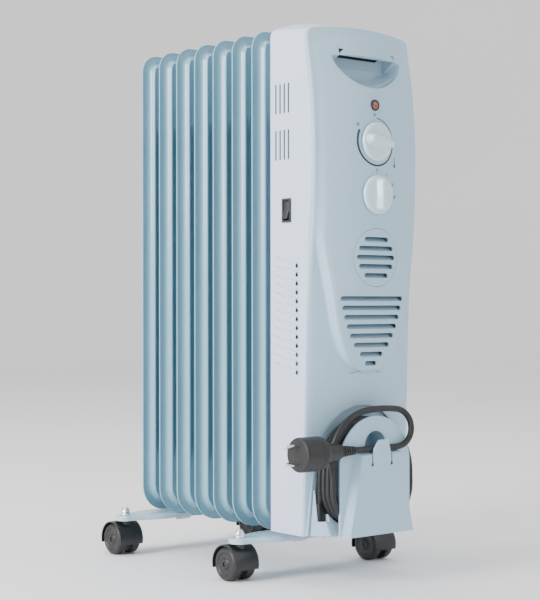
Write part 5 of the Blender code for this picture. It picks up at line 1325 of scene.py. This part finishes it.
def caster_hood(x, axle_y, axle_z):
    """Fork with the two fenders over the wheels."""
    half = FENDER_HALF
    hood = prism("hood", arc((axle_y, axle_z), FENDER_RADIUS, -15, 195, 40), "X", x - half, x + half)
    bevelled(hood, 0.0010, 3, 30)
    boss = turned("boss", (x, axle_y - 0.008, 0), "Z", rounded_profile(
        [(axle_z + 0.004, 0.0060), (0.0440, 0.0060), (0.0478, 0.0060)], 0.0005), 36)
    join(hood, boss)
    for side in (-1, 1):
        near, far = x + side * 0.0041, x + side * (half + 0.001)
        cut(hood, prism("room", circle((axle_y, axle_z), FENDER_ROOM, 56), "X", min(near, far),
                        max(near, far)))
    return join(hood, turned("axle", (0, axle_y, axle_z), "X",
                             [(x - AXLE_HALF, AXLE_RADIUS), (x + AXLE_HALF, AXLE_RADIUS)], 20))


def caster_wheel(x, axle_y, axle_z, side, sizes):
    """One wheel of a pair: rounded tread, dished face and hub cap."""
    radius = axle_z
    profile = rounded_profile([
        (0.0045, 0.0034), (0.0045, radius - 0.0030), (0.0049, radius - 0.0008), (0.0062, radius),
        (0.0140, radius), (0.0158, radius - 0.0014), (0.0165, radius - 0.0036), (0.0165, radius - 0.0056),
        (0.0150, radius - 0.0068), (0.0146, 0.0070), (0.0160, 0.0058), (0.0164, 0.0040), (0.0165, 0.0030)],
        0.0012)
    profile = [(side * along, reach) for along, reach in profile]
    return turned("wheel", (x, axle_y, axle_z), "X", profile, sizes.wheel_steps, ring=True)


class HEATER_OT_casters(bpy.types.Operator):
    """Four twin-wheel casters"""
    bl_idname = "heater.casters"
    bl_label = "Casters"

    def execute(self, context):
        sizes = context.scene.heater_sizes
        for place in PLACES:
            low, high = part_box(f"caster_{place}_wheel_left")
            axle_y = (low.y + high.y) / 2 - FRONT_FIN_Y
            axle_z = (low.z + high.z) / 2
            x = math.copysign(CASTER_REACH, low.x)
            hood = caster_hood(x, axle_y, axle_z)
            hood.name = f"caster_{place}_hood"
            finish(hood, f"caster_{place}_swivel", "caster_plastic",
                   [f"caster_{place}_fork"])
            for side, word in ((-1, "left"), (1, "right")):
                wheel = caster_wheel(x, axle_y, axle_z, side, sizes)
                wheel.name = f"caster_{place}_tread_{word}"
                finish(wheel, f"caster_{place}_wheel_{word}", "tyre",
                       [f"caster_{place}_wheel_{word}"], sharp=50)
        return {"FINISHED"}


# ---- Inside parts -----------------------------------------------------------------------------
class HEATER_OT_inside(bpy.types.Operator):
    """Finishes of the parts inside the housing"""
    bl_idname = "heater.inside"
    bl_label = "Inside Parts"

    def execute(self, context):
        repaint(["heating_element", "oil_filler_plug", "fan_motor"], "zinc_steel")
        repaint(["fan_frame", "fan_impeller", "selector_switch_body", "pilot_lamp_holder"],
                "dark_plastic")
        repaint(["thermostat_body", "fan_heater_grid", "thermal_cutout"], "ceramic")
        repaint(["terminal_block"], "white_plastic")
        return {"FINISHED"}


# ---- Stage ------------------------------------------------------------------------------------
def soft_light(name, place, target, size, energy, colour):
    """A large area light that faces the target."""
    data = bpy.data.lights.new(name, "AREA")
    data.shape = "RECTANGLE"
    data.size, data.size_y = size
    data.energy = energy
    data.color = colour
    lamp = bpy.data.objects.new(name, data)
    lamp.location = place
    lamp.rotation_euler = (Vector(target) - Vector(place)).to_track_quat("-Z", "Y").to_euler()
    bpy.context.scene.collection.objects.link(lamp)
    return lamp


class HEATER_OT_stage(bpy.types.Operator):
    """Plain pale floor, soft light and the camera"""
    bl_idname = "heater.stage"
    bl_label = "Stage"

    def execute(self, context):
        scene = context.scene
        bm = bmesh.new()
        bend = [(5.0 + 2.5 * math.sin(math.radians(angle)), 2.5 - 2.5 * math.cos(math.radians(angle)))
                for angle in range(0, 91, 6)]
        rings = [(0.6, 0.0), (2.5, 0.0)] + bend + [(7.5, 5.0)]
        rows = [[bm.verts.new((*point, z)) for point in circle((0, 0), radius, 96)] for radius, z in rings]
        for near, far in zip(rows, rows[1:]):
            for index in range(len(near)):
                other = (index + 1) % len(near)
                bm.faces.new((near[index], far[index], far[other], near[other]))
        bm.faces.new(rows[0])
        mesh = bpy.data.meshes.new("stage_floor")
        bm.to_mesh(mesh)
        bm.free()
        mesh.shade_smooth()
        floor = link("stage_floor", mesh)
        floor.data.materials.append(look("stage_pale", (0.90, 0.90, 0.91), 0.70, mottle=0.01,
                                         mottle_scale=1.5, grain_scale=60.0, grain_depth=0.00002))

        world = bpy.data.worlds.new("stage_world")
        scene.world = world
        world.use_nodes = True
        sky = world.node_tree.nodes["Background"]
        sky.inputs["Color"].default_value = (1.0, 1.0, 1.0, 1)
        sky.inputs["Strength"].default_value = 1.1
        soft_light("key", (-2.7, 0.1, 1.3), (0, 0, 0.32), (1.0, 1.6), 120, (1.0, 0.985, 1.0))
        soft_light("fill", (1.2, -2.8, 1.9), (0, 0, 0.3), (1.2, 1.2), 14, (0.95, 0.98, 1.0))
        soft_light("top", (-0.2, 0.9, 2.8), (0, 0, 0.3), (1.6, 1.6), 30, (1.0, 1.0, 1.0))

        data = bpy.data.cameras.new("heater_camera")
        data.lens = 88.1
        data.sensor_width = 36.0
        camera = bpy.data.objects.new("heater_camera", data)
        camera.location = (-1.1597, -1.4028, 0.320)
        camera.rotation_euler = (math.radians(90) + 0.0025, 0.0013, -0.6875)
        scene.collection.objects.link(camera)
        scene.camera = camera
        return {"FINISHED"}


# ---- Panel and registration -------------------------------------------------------------------
OPERATORS = (HEATER_OT_stage, HEATER_OT_cord, HEATER_OT_fins, HEATER_OT_housing, HEATER_OT_cover,
             HEATER_OT_marks, HEATER_OT_controls, HEATER_OT_winder, HEATER_OT_feet, HEATER_OT_casters,
             HEATER_OT_inside)


class HEATER_PT_panel(bpy.types.Panel):
    """Sizes, finishes and pieces of the heater"""
    bl_idname = "HEATER_PT_panel"
    bl_label = "Oil Filled Radiator Heater"
    bl_space_type = "VIEW_3D"
    bl_region_type = "UI"
    bl_category = "Heater"

    def draw(self, context):
        for group in (context.scene.heater_sizes, context.scene.heater_finishes):
            for name in group.bl_rna.properties.keys():
                if name not in ("rna_type", "name"):
                    self.layout.prop(group, name)
        for operator in OPERATORS:
            self.layout.operator(operator.bl_idname)


CLASSES = (HeaterSizes, HeaterFinishes, *OPERATORS, HEATER_PT_panel)


def register():
    for item in CLASSES:
        bpy.utils.register_class(item)
    bpy.types.Scene.heater_sizes = bpy.props.PointerProperty(type=HeaterSizes)
    bpy.types.Scene.heater_finishes = bpy.props.PointerProperty(type=HeaterFinishes)


def unregister():
    del bpy.types.Scene.heater_finishes
    del bpy.types.Scene.heater_sizes
    for item in reversed(CLASSES):
        bpy.utils.unregister_class(item)


def main():
    register()
    mix_looks(bpy.context.scene.heater_finishes)
    for operator in OPERATORS:
        group, name = operator.bl_idname.split(".")
        getattr(getattr(bpy.ops, group), name)()
    bpy.context.view_layer.update()


if __name__ == "__main__":
    main()
